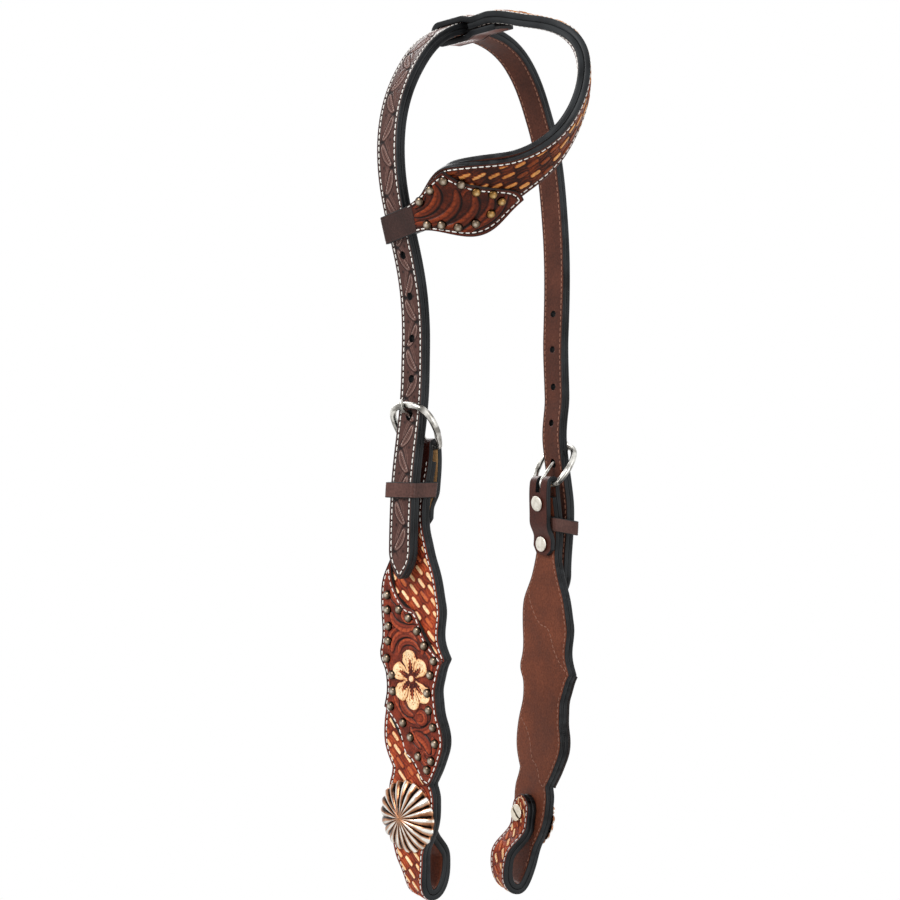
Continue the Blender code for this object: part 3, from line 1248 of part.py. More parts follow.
def slide_wrap():
    """The wrap that clamps the ear piece to the crown and slides on it: a U round the strap's rear edge."""
    centre, ahead, rearward, outward = wrap_frame()
    gap = STRAP_THICKNESS / 2 + SLIDING_CLEARANCE + WRAP_LEATHER / 2
    rear = STRAP_WIDTH / 2 + SLIDING_CLEARANCE + WRAP_LEATHER / 2
    front = -(STRAP_WIDTH / 2 + WRAP_REACH)
    corner = WRAP_LEATHER
    knots = [
        (front, gap, 0), (rear - corner, gap, 0), (rear, gap - corner, -90), (rear, corner - gap, -90),
        (rear - corner, -gap, -180), (front, -gap, -180),
    ]
    flat = bezier_path(knots)
    rows = rows_along(flat)
    flat = at_lengths(flat, lengths_along(flat), rows)
    centres = centre + flat[:, :1] * rearward + flat[:, 1:] * outward
    halves = np.full(len(flat), WRAP_HEIGHT / 2)
    sideways = np.broadcast_to(ahead, centres.shape)
    middle = strip_points(centres, sideways, halves, halves, 1)
    return layer("ear_slide_wrap", middle, WRAP_LEATHER, strap_leather)


ear_lining, ear_outer = ear_layers()
ear_skin = layer("ear_overlay", ear_overlay(), OVERLAY_LEATHER, overlay_leather)
boolean(ear_skin, cut_with("ear_studs", (), others=ear_studs()), "UNION")
for ear_part in (ear_lining, ear_outer, ear_skin, slide_wrap()):
    set_origin(ear_part, slide_pivot())
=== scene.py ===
# Western slip-ear headstall: worked leather surfaces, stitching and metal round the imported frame.
# Metres. +X to the far cheek, front edges face -Y, +Z up. A cheek's own frame has its origin on the
# buckle bar: n runs outward, b to the rear and s down the cheek.
import math

import bpy
import numpy as np
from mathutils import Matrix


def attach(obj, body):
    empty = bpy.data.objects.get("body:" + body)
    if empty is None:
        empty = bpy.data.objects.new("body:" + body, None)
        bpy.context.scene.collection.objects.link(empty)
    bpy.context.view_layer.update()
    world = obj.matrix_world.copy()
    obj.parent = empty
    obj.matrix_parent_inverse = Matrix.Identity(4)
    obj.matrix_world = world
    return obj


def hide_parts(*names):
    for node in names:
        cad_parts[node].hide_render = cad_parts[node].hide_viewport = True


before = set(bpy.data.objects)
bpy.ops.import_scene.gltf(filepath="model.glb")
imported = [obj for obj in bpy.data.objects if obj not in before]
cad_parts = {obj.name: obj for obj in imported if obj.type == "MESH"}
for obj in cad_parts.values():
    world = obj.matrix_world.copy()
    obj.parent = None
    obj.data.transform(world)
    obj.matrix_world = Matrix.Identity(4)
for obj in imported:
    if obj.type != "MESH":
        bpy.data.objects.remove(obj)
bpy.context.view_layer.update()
print("frame loaded:", len(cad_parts), "nodes")

mm = 0.001
near, far = -1, 1
sideNames = {near: "near", far: "far"}

stock = {  # leather stock and the gaps between layers
    "thick": 0.0028, "overlay": 0.0014, "keeper": 0.0018, "wrap": 0.0020, "gap": 0.0003, "slide": 0.0006,
    "press": 0.14 * mm,  # how far a sewn layer presses into the gap beside it
}
stock["step"] = stock["thick"] + stock["gap"]
stock["strap"] = stock["thick"] + stock["step"]

hang = {  # how each cheek hangs from the crown; angles in degrees
    near: {"drop": 0.2285, "fore": 0.0013, "shift": -0.0004, "loopDepth": 0.0225, "sway": 0.0, "sag": 0.0,
           "yaw": 0.3, "cheekYaw": 0.0, "conchoYaw": 0.0, "loopYaw": 14.0, "crownYaw": 8.4, "rearLean": 0.0,
           "inLean": 0.0},
    far: {"drop": 0.2500, "fore": -0.0020, "shift": -0.0006, "loopDepth": 0.0240, "sway": 0.0046, "sag": -8.0,
          "yaw": 12.1, "cheekYaw": 0.5, "conchoYaw": 5.0, "loopYaw": 8.0, "crownYaw": 5.4, "rearLean": 3.0,
          "inLean": 6.3},
}
cheek = {
    "halfSpan": 0.051, "length": 0.240, "width": 0.0445, "face": 0.0106, "neck": 0.0166, "strap": 0.0165,
    "neckRise": 0.036, "loopHeight": 0.034, "tabTop": 0.184, "buckleTab": 0.042, "bend": 0.0225,
    "rivetUp": 0.0112, "rivetLow": 0.0358, "rivetCap": 0.0090, "liningTop": 0.0075, "plainShadedNeck": 0.050,
    "seamTop": 0.0225,
}


def smoothStep(low, high, value):
    # 0 below low, 1 above high and an S curve between
    share = np.clip((value - low) / (high - low), 0, 1)
    return share * share * (3 - 2 * share)


def bell(distance, wide=1.0):
    # 1 at no distance, falling to 1/e at the width
    return np.exp(-(distance / wide) ** 2)


def roundTurns(count):
    # even angles round a circle
    return np.arange(count) * math.tau / count


def headingOf(degrees):
    return np.array([math.cos(math.radians(degrees)), math.sin(math.radians(degrees))])


def bezierPath(knots, steps=48):
    # cubic arcs between knots (x, y, heading): handles reach 0.36 of the chord along each heading
    share = np.linspace(0, 1, steps)[:-1, None]
    arcs = []
    for (x0, y0, leaving), (x1, y1, arriving) in zip(knots, knots[1:]):
        start, end = np.array([x0, y0]), np.array([x1, y1])
        reach = np.linalg.norm(end - start) * 0.36
        first, second = start + reach * headingOf(leaving), end - reach * headingOf(arriving)
        arcs.append((1 - share) ** 3 * start + 3 * share * (1 - share) ** 2 * first
                    + 3 * share**2 * (1 - share) * second + share**3 * end)
    return np.concatenate(arcs + [end[None]])


def lengthsAlong(points):
    # length run through up to each point of a polyline
    return np.concatenate([[0], np.cumsum(np.linalg.norm(np.diff(points, axis=0), axis=1))])


def unit(vectors):
    return vectors / np.linalg.norm(vectors, axis=-1, keepdims=True)


def tangentsAlong(points):
    # unit directions from the differences of neighbouring points
    return unit(np.gradient(points, axis=0))


def leftOf(path, distance):
    # a flat path moved sideways by its own left normals
    ahead = tangentsAlong(path)
    return path + distance * np.stack([-ahead[:, 1], ahead[:, 0]], axis=1)


def atLengths(values, lengths, wanted):
    # rows of values read at wanted lengths, in straight lines between them
    return np.stack([np.interp(wanted, lengths, column) for column in values.T], axis=-1)


def naturalCurve(places, values, wanted):
    # natural cubic spline: second slopes solved so that the curve and its bend are continuous
    places, values = np.asarray(places, float), np.asarray(values, float)
    gaps, count = np.diff(places), len(places)
    system = np.eye(count)
    slopes = np.diff(values, axis=0) / gaps.reshape(-1, *[1] * (values.ndim - 1))
    right = np.zeros_like(values)
    for knot in range(1, count - 1):
        system[knot, knot - 1:knot + 2] = gaps[knot - 1], 2 * (gaps[knot - 1] + gaps[knot]), gaps[knot]
        right[knot] = 6 * (slopes[knot] - slopes[knot - 1])
    bends = np.linalg.solve(system, right)
    wanted = np.asarray(wanted, float)
    cell = np.clip(np.searchsorted(places, wanted) - 1, 0, count - 2)
    shape = wanted.shape + (1,) * (values.ndim - 1)
    gap = gaps[cell].reshape(shape)
    before = (wanted - places[cell]).reshape(shape)
    after = gap - before
    return ((bends[cell] * after**3 + bends[cell + 1] * before**3) / (6 * gap)
            + (values[cell] / gap - bends[cell] * gap / 6) * after
            + (values[cell + 1] / gap - bends[cell + 1] * gap / 6) * before)


def tableCurve(table, wanted):
    # the natural curve through a table of (place, value) rows
    return naturalCurve(*np.array(table).T, wanted)


def hangPlace(side):
    # place(n, b, s): the cheek's own frame swept down a leaning, swaying line and twisted by yaw
    how, length = hang[side], cheek["length"]
    downs = np.linspace(-length / 3, length + cheek["neckRise"], 257)
    shares = downs / length
    lean = smoothStep(0.29, 0.58, shares)
    neck, neckLong = np.clip((shares - 0.03) / 0.20, 0, 1), 0.20 * length
    rear = lean * math.tan(math.radians(how["rearLean"])) + how["sway"] * 6 * neck * (1 - neck) / neckLong
    inward = lean * math.tan(math.radians(how["inLean"]))
    ahead = unit(np.stack([-side * inward, rear, -np.ones_like(downs)], axis=1))
    steps = np.diff(downs)[:, None] * (ahead[1:] + ahead[:-1]) / 2
    origins = np.concatenate([np.zeros((1, 3)), np.cumsum(steps, axis=0)])
    bar = np.array([side * cheek["halfSpan"], how["fore"], -how["drop"]])
    origins += bar - atLengths(origins, downs, 0.0)

    def place(n, b, s):
        n, b, s = np.broadcast_arrays(np.asarray(n, float), np.asarray(b, float), np.asarray(s, float))
        share = s / length
        yaw = how["yaw"] + how["cheekYaw"] * smoothStep(0.19, 0.46, share)
        yaw = yaw + how["conchoYaw"] * smoothStep(0.50, 0.69, share)
        yaw = np.radians(yaw + how["loopYaw"] * smoothStep(0.905, 0.980, share))
        down = unit(atLengths(ahead, downs, s))
        out = side * np.stack([np.cos(yaw), -np.sin(yaw), np.zeros_like(yaw)], axis=-1)
        out = unit(out - np.sum(out * down, axis=-1, keepdims=True) * down)
        return atLengths(origins, downs, s) + n[..., None] * out + b[..., None] * side * np.cross(out, down)

    return place


places = {side: hangPlace(side) for side in (near, far)}


def fill(tree, node, inputs):
    # an input is a socket to link or a value to set
    for key, value in inputs.items():
        if isinstance(value, bpy.types.NodeSocket):
            tree.links.new(value, node.inputs[key])
        else:
            node.inputs[key].default_value = value


def adderFor(tree):
    # gives the function that makes one node: its settings first, as they decide which inputs it has
    def add(kind, inputs=None, **settings):
        node = tree.nodes.new("ShaderNode" + kind)
        for key, value in settings.items():
            setattr(node, key, value)
        fill(tree, node, inputs or {})
        return node

    return add


def newMaterial(name):
    # the material, its node adder and a function that fills in its shader
    made = bpy.data.materials.new(name)
    made.use_nodes = True
    tree = made.node_tree
    return made, adderFor(tree), lambda inputs: fill(tree, tree.nodes["Principled BSDF"], inputs)


def noise(add, vector, scale, detail):
    return add("TexNoise", {"Vector": vector, "Scale": scale, "Detail": detail}).outputs["Fac"]


def maths(add, operation, *values):
    return add("Math", dict(enumerate(values)), operation=operation).outputs[0]


def scaled(add, value, by, plus):
    return maths(add, "ADD", maths(add, "MULTIPLY", value, by), plus)


def spread(add, value, low, high):
    # a noise's middle band, 0.3 to 0.7, stretched over low to high
    bands = {"Value": value, "From Min": 0.3, "From Max": 0.7, "To Min": low, "To Max": high}
    return add("MapRange", bands).outputs[0]


def bumped(add, height, strength, distance):
    return add("Bump", {"Height": height, "Strength": strength, "Distance": distance}).outputs["Normal"]


def toneOf(add):
    return add("Attribute", attribute_name="tone").outputs["Fac"]


def srgb(red, green, blue):
    # display colour 0..255 to the linear value that renders as it is written
    linear = [((c / 255 + 0.055) / 1.055) ** 2.4 if c > 10 else c / 255 / 12.92 for c in (red, green, blue)]
    return (*linear, 1.0)


def tinted(add, factor, stops):
    # colour ramp from (place, red, green, blue) rows
    node = add("ValToRGB", {"Fac": factor})
    while len(node.color_ramp.elements) < len(stops):
        node.color_ramp.elements.new(0.5)
    for element, (spot, *colour) in zip(node.color_ramp.elements, stops):
        element.position = spot
        element.color = srgb(*colour)
    return node.outputs["Color"]


hide = {"blotch": 70.0, "fine": 900.0, "pores": 810.0, "grain": 0.12 * mm, "shine": 0.16}


def leatherMaterial(name, slot, gloss, *stops, toned=True, mottle=0.25):
    # tone attribute runs from dark cuts to raised lights, painted shade and highlights over the tooled
    # colours; two noises mottle it, pores make the grain
    made, add, dress = newMaterial(name)
    where = add("TexCoord").outputs["Object"]
    blotch, fine = noise(add, where, hide["blotch"], 5.0), noise(add, where, hide["fine"], 3.0)
    tone = toneOf(add) if toned else scaled(add, blotch, 0.5, 0.25)
    shade = maths(add, "MULTIPLY", scaled(add, blotch, mottle * 2, 1 - mottle), spread(add, fine, 0.74, 1.22))
    mixed = add("Mix", {"Factor": 1.0, "A": tinted(add, tone, stops), "B": shade},
                data_type="RGBA", blend_type="MULTIPLY")
    pores = add("TexVoronoi", {"Vector": where, "Scale": hide["pores"]}).outputs["Distance"]
    dress({"Base Color": next(out for out in mixed.outputs if out.type == "RGBA"),
           "Normal": bumped(add, maths(add, "ADD", pores, fine), 0.55, hide["grain"]),
           "Roughness": spread(add, blotch, gloss - 0.08, gloss + 0.12), "Specular IOR Level": hide["shine"]})
    return made


def edgeMaterial(name, dark, light, gloss=0.33):
    # burnished cut edge: dyed almost black, with lighter streaks along the fibres that are painted sheen
    made, add, dress = newMaterial(name)
    coords = add("TexCoord").outputs
    fibres = add("Mapping", {"Vector": coords["UV"], "Scale": (60.0, 900.0, 1.0)}).outputs["Vector"]
    streak = noise(add, coords["Object"], 42.0, 3.0)
    both = maths(add, "MULTIPLY_ADD", streak, 0.8, noise(add, fibres, 1.0, 2.0))
    dress({"Base Color": tinted(add, both, [(0.62, *dark), (1, *light)]),
           "Normal": bumped(add, both, 0.5, 0.2 * mm),
           "Roughness": spread(add, streak, gloss - 0.08, gloss + 0.15), "Specular IOR Level": hide["shine"]})
    return made


def threadMaterial(name, colour, shadow):
    # waxed thread: fine lay across each stitch
    made, add, dress = newMaterial(name)
    lay = noise(add, add("TexCoord").outputs["Object"], 2600.0, 2.0)
    dress({"Base Color": tinted(add, lay, [(0.30, *shadow), (0.55, *colour)]),
           "Normal": bumped(add, lay, 0.4, 0.1 * mm), "Roughness": 0.6})
    return made


def metalMaterial(name, slot, gloss, *stops, toned=False, scale=420.0):
    # plated metal: the tone attribute runs from painted shade to painted highlight, over the concho's own
    # oxide in its hollows
    # the noise is wear on the rivets and painted reflections on the satin nickel; toned pieces take a little
    # of it
    made, add, dress = newMaterial(name)
    tone = variation = noise(add, add("TexCoord").outputs["Object"], scale, 4.0)
    if toned:
        worn = maths(add, "ADD", toneOf(add), maths(add, "MULTIPLY", variation, 0.3))
        tone = maths(add, "SUBTRACT", worn, 0.15)
    dress({"Base Color": tinted(add, tone, stops), "Roughness": spread(add, variation, gloss - 0.06, gloss + 0.1),
           "Normal": bumped(add, variation, 0.12, 0.08 * mm), "Metallic": 1.0})
    return made


# the strap leather's lightest tones are painted highlights on the raised tooling
strapFace = leatherMaterial("tooledStrapLeather", "strap_leather", 0.38, (0, 20, 10, 9), (0.30, 52, 32, 28),
                            (0.48, 84, 56, 50), (0.70, 120, 92, 84), (1, 214, 200, 192))
liningFace = leatherMaterial("liningLeather", "lining_leather", 0.5, (0, 44, 24, 18), (0.5, 84, 47, 36),
                             (1, 112, 68, 52), toned=False)
cheekLining = leatherMaterial("cheekLiningLeather", "lining_leather", 0.5, (0, 70, 36, 25),
                              (0.5, 114, 62, 43), (1, 138, 82, 60), toned=False)
cheekFace = leatherMaterial("basketLeather", "cheek_leather", 0.42, (0, 26, 9, 6), (0.28, 92, 34, 22),
                            (0.46, 146, 56, 32), (0.60, 186, 86, 46), (0.76, 234, 166, 104),
                            (1, 255, 224, 178), mottle=0.3)
earBandFace = leatherMaterial("earBandLeather", "cheek_leather", 0.40, (0, 14, 5, 3), (0.30, 52, 20, 9),
                              (0.46, 98, 40, 16), (0.62, 142, 68, 26), (0.80, 200, 130, 66),
                              (1, 232, 178, 112), mottle=0.35)
overlayFace = leatherMaterial("carvedLeather", "overlay_leather", 0.36, (0, 22, 8, 6), (0.26, 90, 35, 24),
                              (0.44, 134, 54, 34), (0.62, 182, 84, 50), (0.80, 246, 186, 124),
                              (1, 255, 226, 182), mottle=0.35)
earFace = leatherMaterial("carvedEarLeather", "overlay_leather", 0.34, (0, 12, 4, 3), (0.30, 66, 24, 12),
                          (0.48, 108, 42, 19), (0.66, 150, 66, 32), (1, 206, 126, 72), mottle=0.35)
# keeper leather is the wrap leather painted lighter, a painted highlight on the keepers
keeperFace = leatherMaterial("keeperLeather", "wrap_leather", 0.40, (0, 38, 23, 20), (0.5, 88, 60, 54),
                             (1, 120, 90, 82), toned=False)
wrapFace = leatherMaterial("wrapLeather", "wrap_leather", 0.40, (0, 18, 11, 10), (0.5, 52, 33, 29),
                           (1, 78, 54, 48), toned=False)
tabFace = leatherMaterial("tabLeather", None, 0.40, (0, 36, 17, 13), (0.5, 74, 36, 28), (1, 104, 58, 44),
                          toned=False)
fleshFace = leatherMaterial("fleshLeather", None, 0.7, (0, 150, 104, 64), (0.5, 228, 178, 120),
                            (1, 246, 208, 158), toned=False)
# the light colour of both edges is painted sheen
darkEdge = edgeMaterial("burnishedEdge", (3, 3, 4), (38, 40, 42))
skivedEdge = edgeMaterial("skivedEdge", (9, 7, 7), (42, 34, 32))
whiteThread = threadMaterial("whiteThread", (246, 243, 236), (196, 190, 182))
tanThread = threadMaterial("tanThread", (156, 106, 84), (104, 64, 50))
# the nickel's dark and bright noise patches are painted reflections
nickel = metalMaterial("satinNickel", "satin_nickel", 0.20, (0.28, 58, 57, 55), (0.46, 146, 143, 137),
                       (0.6, 226, 224, 218), scale=150.0)
rivetMetal = metalMaterial("rivetNickel", "satin_nickel", 0.34, (0.15, 188, 180, 168), (0.5, 226, 220, 208),
                           (0.85, 246, 242, 236))
screwMetal = metalMaterial("screwNickel", "satin_nickel", 0.3, (0.15, 34, 28, 22), (0.5, 170, 154, 128),
                           (0.85, 236, 228, 212), toned=True)
studMetal = metalMaterial("antiqueBrass", "antique_silver", 0.22, (0.1, 12, 9, 8), (0.42, 74, 60, 48),
                          (0.62, 138, 122, 104), (0.8, 226, 216, 202), toned=True)
goldMetal = metalMaterial("rubbedBrass", "antique_silver", 0.22, (0.1, 16, 10, 6), (0.42, 104, 74, 40),
                          (0.62, 170, 132, 80), (0.8, 232, 208, 160), toned=True)
conchoMetal = metalMaterial("antiqueSilver", "antique_silver", 0.22, (0.12, 8, 7, 7), (0.28, 64, 44, 34),
                            (0.42, 150, 100, 70), (0.56, 190, 140, 106), (0.70, 196, 184, 172),
                            (0.88, 240, 238, 232), toned=True)
print("materials made")

# making meshes


def putMesh(name, points, faces, loops, materials, index=None, tone=None, uv=None, body=None, stands=(),
            smooth=True):
    # points (V, 3); faces as one flat list of corner indices with the count of corners of each face
    mesh = bpy.data.meshes.new(name)
    mesh.vertices.add(len(points))
    mesh.vertices.foreach_set("co", np.asarray(points, np.float32).ravel())
    starts = np.concatenate([[0], np.cumsum(loops)[:-1]]).astype(np.int32)
    mesh.loops.add(len(faces))
    mesh.loops.foreach_set("vertex_index", np.asarray(faces, np.int32))
    mesh.polygons.add(len(loops))
    mesh.polygons.foreach_set("loop_start", starts)
    mesh.polygons.foreach_set("use_smooth", np.full(len(loops), smooth))
    for surface in materials:
        mesh.materials.append(surface)
    if index is not None:
        mesh.polygons.foreach_set("material_index", np.asarray(index, np.int32))
    if tone is not None:
        layer = mesh.attributes.new("tone", "FLOAT", "POINT")
        layer.data.foreach_set("value", np.asarray(tone, np.float32).ravel())
    if uv is not None:
        layer = mesh.uv_layers.new(name="UVMap")
        layer.data.foreach_set("uv", np.asarray(uv, np.float32)[np.asarray(faces)].ravel())
    mesh.update()
    mesh.validate()
    obj = bpy.data.objects.new(name, mesh)
    bpy.context.scene.collection.objects.link(obj)
    if body:
        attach(obj, body)
    if stands:
        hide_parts(*stands)
    return obj


def ringFaces(rows, columns, closed=False):
    # quads between neighbouring rings of points; each ring closes on itself
    row = np.arange(rows if closed else rows - 1)[:, None]
    column = np.arange(columns)[None]
    after, following = (column + 1) % columns, (row + 1) % rows
    return np.stack([row * columns + column, row * columns + after, following * columns + after,
                     following * columns + column], axis=-1).reshape(-1, 4)


def facingOut(points, quads):
    # signed volume of the quads about their mean tells whether they point outwards
    corners = points[quads] - points.mean(axis=0)
    first = np.einsum("ij,ij->i", corners[:, 0], np.cross(corners[:, 1], corners[:, 2])).sum()
    return first + np.einsum("ij,ij->i", corners[:, 0], np.cross(corners[:, 2], corners[:, 3])).sum() > 0


def skin(rings, closed=False):
    # rings (R, C, 3) joined by quads and capped at open ends, all facing outwards
    rows, count = rings.shape[:2]
    points, quads = rings.reshape(-1, 3), ringFaces(rows, count, closed)
    ends = np.concatenate([np.arange(count)[::-1], np.arange(count) + (rows - 1) * count])
    if not facingOut(points, quads):
        quads, ends = quads[:, ::-1], ends[::-1]
    corners, loops = quads.ravel(), np.full(len(quads), 4)
    if not closed:
        corners, loops = np.concatenate([corners, ends]), np.concatenate([loops, [count, count]])
    return points, corners, loops


def joined(skins):
    # several skins as one mesh: each one's corners count on from the points before it
    points, corners, loops = zip(*skins)
    starts = np.cumsum([0] + [len(part) for part in points])
    return (np.concatenate(points), np.concatenate([part + start for part, start in zip(corners, starts)]),
            np.concatenate(loops))


def slab(name, pointAt, rows, wide, thick, columns, faces, relief=None, under=8, corner=0.24, lay=(0, 0),
         repaint=None, **piece):
    # leather: a ring of (share across, height) is carried along the rows, with a flat top and bottom and
    # edges that are half super-ellipses; lay is how far top and bottom press into the layers' gaps.
    # pointAt(row, share, height) gives the world point, relief(row, share, wide) height and tone on top,
    # and repaint (row, kinds) other materials past a row.
    rows, wide = np.asarray(rows, float), np.asarray(wide, float)
    inset = np.minimum(corner * thick / wide, 0.3)[:, None]
    arc = np.linspace(0, math.pi, 7)[1:-1]
    top = inset + (1 - 2 * inset) * np.linspace(0, 1, columns)
    bottom = inset + (1 - 2 * inset) * np.linspace(1, 0, under)
    bulge, fall = np.sin(arc) ** 0.55, np.sign(np.cos(arc)) * np.abs(np.cos(arc)) ** 0.7
    shares = np.concatenate([top, 1 - inset + inset * bulge, bottom, inset - inset * bulge], axis=1)
    flat = np.ones((len(rows), 1))
    heights = [flat * np.ones(columns), flat * fall, -flat * np.ones(under), -flat * fall]
    heights = np.concatenate(heights, axis=1)
    heights = heights * (thick / 2 + np.where(heights > 0, lay[0], lay[1]))
    tone = np.full(shares.shape, 0.5)
    along = np.broadcast_to(rows[:, None], shares.shape)
    if relief:
        rise, shade = relief(along[:, :columns], shares[:, :columns], wide[:, None])
        heights[:, :columns] += rise
        tone[:, :columns] = shade
    count = shares.shape[1]
    points, corners, loops = skin(pointAt(along, shares, heights))
    edge = np.ones(len(arc) + 1)
    index = np.tile(np.concatenate([np.zeros(columns - 1), edge, np.full(under - 1, 2), edge]), len(rows) - 1)
    if repaint:
        later = np.repeat(rows[:-1] > repaint[0], count)
        index = np.where(later, np.array(repaint[1])[index.astype(int)], index)
    uv = np.stack([along, (shares - 0.5) * wide[:, None]], axis=-1).reshape(-1, 2)
    return putMesh(name, points, corners, loops, faces, np.concatenate([index, [1, 1]]), tone, uv, **piece)


def tube(name, rings, surface, closed=False, tone=None, **piece):
    return putMesh(name, *skin(rings, closed), [surface], tone=tone, **piece)


def evenly(length, pitch, dense=(), tip=0.0):
    # rows at one pitch, closer in the stretches (low, high, pitch) and towards rounded ends of that reach
    spots = [np.arange(0, length, pitch), [length]]
    for low, high, fine in dense:
        spots.append(np.arange(max(low, 0), min(high, length), fine))
    if tip:
        ease = tip * (1 - np.cos(np.linspace(0, math.pi / 2, 14)))
        spots += [ease, length - ease]
    spots = np.unique(np.concatenate(spots))
    keep = np.concatenate([[True], np.diff(spots) > 0.06 * mm])
    keep[-1] = True
    return spots[keep]


stitch = {"pitch": 0.0033, "long": 0.0026, "thick": 0.00034, "sides": 6}


def stitches(name, lines, surface, body, sunk=0.35):
    # each stitch is a capsule: rings of radius 0.4, 1, 1, 0.4 along a straight chord of its seam
    centres, aheads, outs = [], [], []
    for line, normals in lines:
        lengths = lengthsAlong(line)
        count = max(int(lengths[-1] / stitch["pitch"]), 1)
        spots = (np.arange(count) + 0.5) * lengths[-1] / count
        centres.append(atLengths(line, lengths, spots))
        aheads.append(unit(atLengths(tangentsAlong(line), lengths, spots)))
        outs.append(unit(atLengths(normals, lengths, spots)))
    centre, ahead, out = (np.concatenate(group)[:, None, None] for group in (centres, aheads, outs))
    aside, sides = np.cross(ahead, out), stitch["sides"]
    reach = np.array([-0.5, -0.32, 0.32, 0.5])[:, None, None] * stitch["long"]
    radius = np.array([0.4, 1, 1, 0.4])[:, None] * stitch["thick"]
    lift = np.array([-0.7, 0.35, 0.35, -0.7])[:, None] * stitch["thick"] * (1 - sunk)
    turn = roundTurns(sides)
    points = (centre + reach * ahead + (radius * np.cos(turn))[..., None] * aside
              + (radius * np.sin(turn) + lift)[..., None] * out)
    # aside, out and ahead are left-handed, so the rings' quads are turned over to face outwards
    quads, last = ringFaces(4, sides)[:, ::-1].ravel(), np.arange(3 * sides, 4 * sides)[::-1]
    one = np.concatenate([quads, np.arange(sides), last])
    corners = one + np.arange(len(centre))[:, None] * 4 * sides
    loops = np.tile([4] * (3 * sides) + [sides] * 2, len(centre))
    return putMesh(name, points.reshape(-1, 3), corners.ravel(), loops, [surface], body=body)


# patterns, as height and tone over a surface


def hashed(values):
    # repeatable value from 0 to 1 for a whole number
    return np.mod(np.abs(np.sin(values * 12.9898 + 4.1414) * 43758.5453), 1)


def fromEdge(share, wide):
    # distance to the nearer edge
    return np.minimum(share, 1 - share) * wide


seam = {
    "inset": 0.0019, "overlay": 1.5 * mm, "overlayEnd": 1.8 * mm, "ear": 2.0 * mm,  # distances from the edges
    "earEnd": 2.2 * mm, "sample": 0.8 * mm, "clear": 0.012, "tail": 0.0075, "bow": 0.0052,
    "sunk": 0.15 * mm, "sunkFace": 0.2 * mm, "sunkBack": 0.1 * mm,  # how deep the threads are pulled in
}


def edgeRow(share, wide):
    # groove for the stitches beside each edge, with a bevel that falls to the edge; both are painted darker
    # as shade
    off = fromEdge(share, wide)
    groove = bell(off - seam["inset"], 0.55 * mm)
    fall = np.clip(1 - off / (0.9 * mm), 0, 1)
    return -0.22 * mm * groove - 0.25 * mm * fall**2, -0.42 * groove - 0.25 * fall


def nearest(closer, *pairs):
    # the new value of each (new, old) pair where it is closer
    return (np.where(closer, new, old) for new, old in pairs)


def plainEdge(row, share, wide):
    return edgeRow(share, wide)


def creased(inset, wide, deep, bevel, fall):
    # relief of plain leather: a creased line beside each edge and a bevel; the crease is painted darker as
    # shade
    def relief(row, share, width):
        off = fromEdge(share, width)
        line = bell(off - inset, wide)
        return -deep * line - bevel * np.clip(1 - off / fall, 0, 1) ** 2, 0.5 - 0.3 * line

    return relief


basket = {"turn": 46.0, "half": (0.0032, 0.00104), "steps": ((-0.0017, 0.0068), (-0.0057, -0.0036)),
          "jitter": 0.0005, "rise": 0.32 * mm, "shadow": 0.20 * mm, "weave": 0.06 * mm}


def basketWork(b, s):
    # stamped weave: raised bars on a slanted lattice, each point taking the bar whose super-ellipse it is
    # deepest in; the ground between them is ribbed along the bars
    turn, (halfLong, halfWide) = math.radians(basket["turn"]), basket["half"]
    first, second = np.array(basket["steps"])
    area = first[0] * second[1] - first[1] * second[0]
    column = np.floor((b * second[1] - s * second[0]) / area)
    line = np.floor((s * first[0] - b * first[1]) / area)
    shape, pick, lean = np.full(b.shape, 1e3), np.zeros(b.shape), np.zeros(b.shape)
    for i in (-1, 0, 1, 2):
        for j in (-1, 0, 1, 2):
            key = (column + i) * 7.31 + (line + j) * 3.17
            chance, size = hashed(key), 0.82 + 0.32 * hashed(key + 0.37)
            x = b - (column + i) * first[0] - (line + j) * second[0] - basket["jitter"] * (chance - 0.5)
            y = s - (column + i) * first[1] - (line + j) * second[1] + basket["jitter"] * (size - 1)
            p, q = y * math.cos(turn) - x * math.sin(turn), y * math.sin(turn) + x * math.cos(turn)
            this = (np.abs(p) / (halfLong * size)) ** 5 + (np.abs(q) / (halfWide * (1.5 - 0.5 * size))) ** 3
            closer = this < shape
            shape, pick, lean = nearest(closer, (this, shape), (chance, pick), (q, lean))
    bar = smoothStep(1.35, 0.75, shape)
    shadow = bell(np.abs(shape) ** 0.4 - 1.45, 0.35)
    along, aside = s * math.cos(turn) - b * math.sin(turn), s * math.sin(turn) + b * math.cos(turn)
    weave = 0.5 + 0.5 * np.sin(aside / (0.30 * mm) + 1.6 * np.sin(along / (1.3 * mm)))
    blot = 0.5 + 0.5 * np.sin(along / (2.9 * mm) + 2.0 * np.sin(aside / (4.1 * mm)))
    light = np.where(pick > 0.22, 0.84 + 0.16 * pick, 0.62)
    ground = 0.30 + 0.14 * weave + 0.16 * blot - 0.16 * shadow
    rise = basket["rise"] * bar * (1 - 0.25 * lean / halfWide) - basket["shadow"] * shadow * (1 - bar)
    return rise + basket["weave"] * weave * (1 - bar), ground * (1 - bar) + bar * light


def strokeField(b, s, line, width, taper=0.35):
    # distance to a polyline in units of its half width, which tapers towards both ends, the signed side and
    # the share of its length
    line = np.asarray(line, float)
    lengths, shares = lengthsAlong(line), np.linspace(0, 1, 40)
    spots = atLengths(line, lengths, shares * lengths[-1])
    best, sided, where = np.full(b.shape, 1e3), np.zeros(b.shape), np.zeros(b.shape)
    for (x, y), (dx, dy), share in zip(spots, tangentsAlong(spots), shares):
        half = width * (taper + (1 - taper) * math.sin(math.pi * share) ** 0.6)
        off = np.hypot(b - x, s - y) / half
        this = ((b - x) * dy - (s - y) * dx) / half
        best, sided, where = nearest(off < best, (off, best), (this, sided), (share, where))
    return best, sided, where


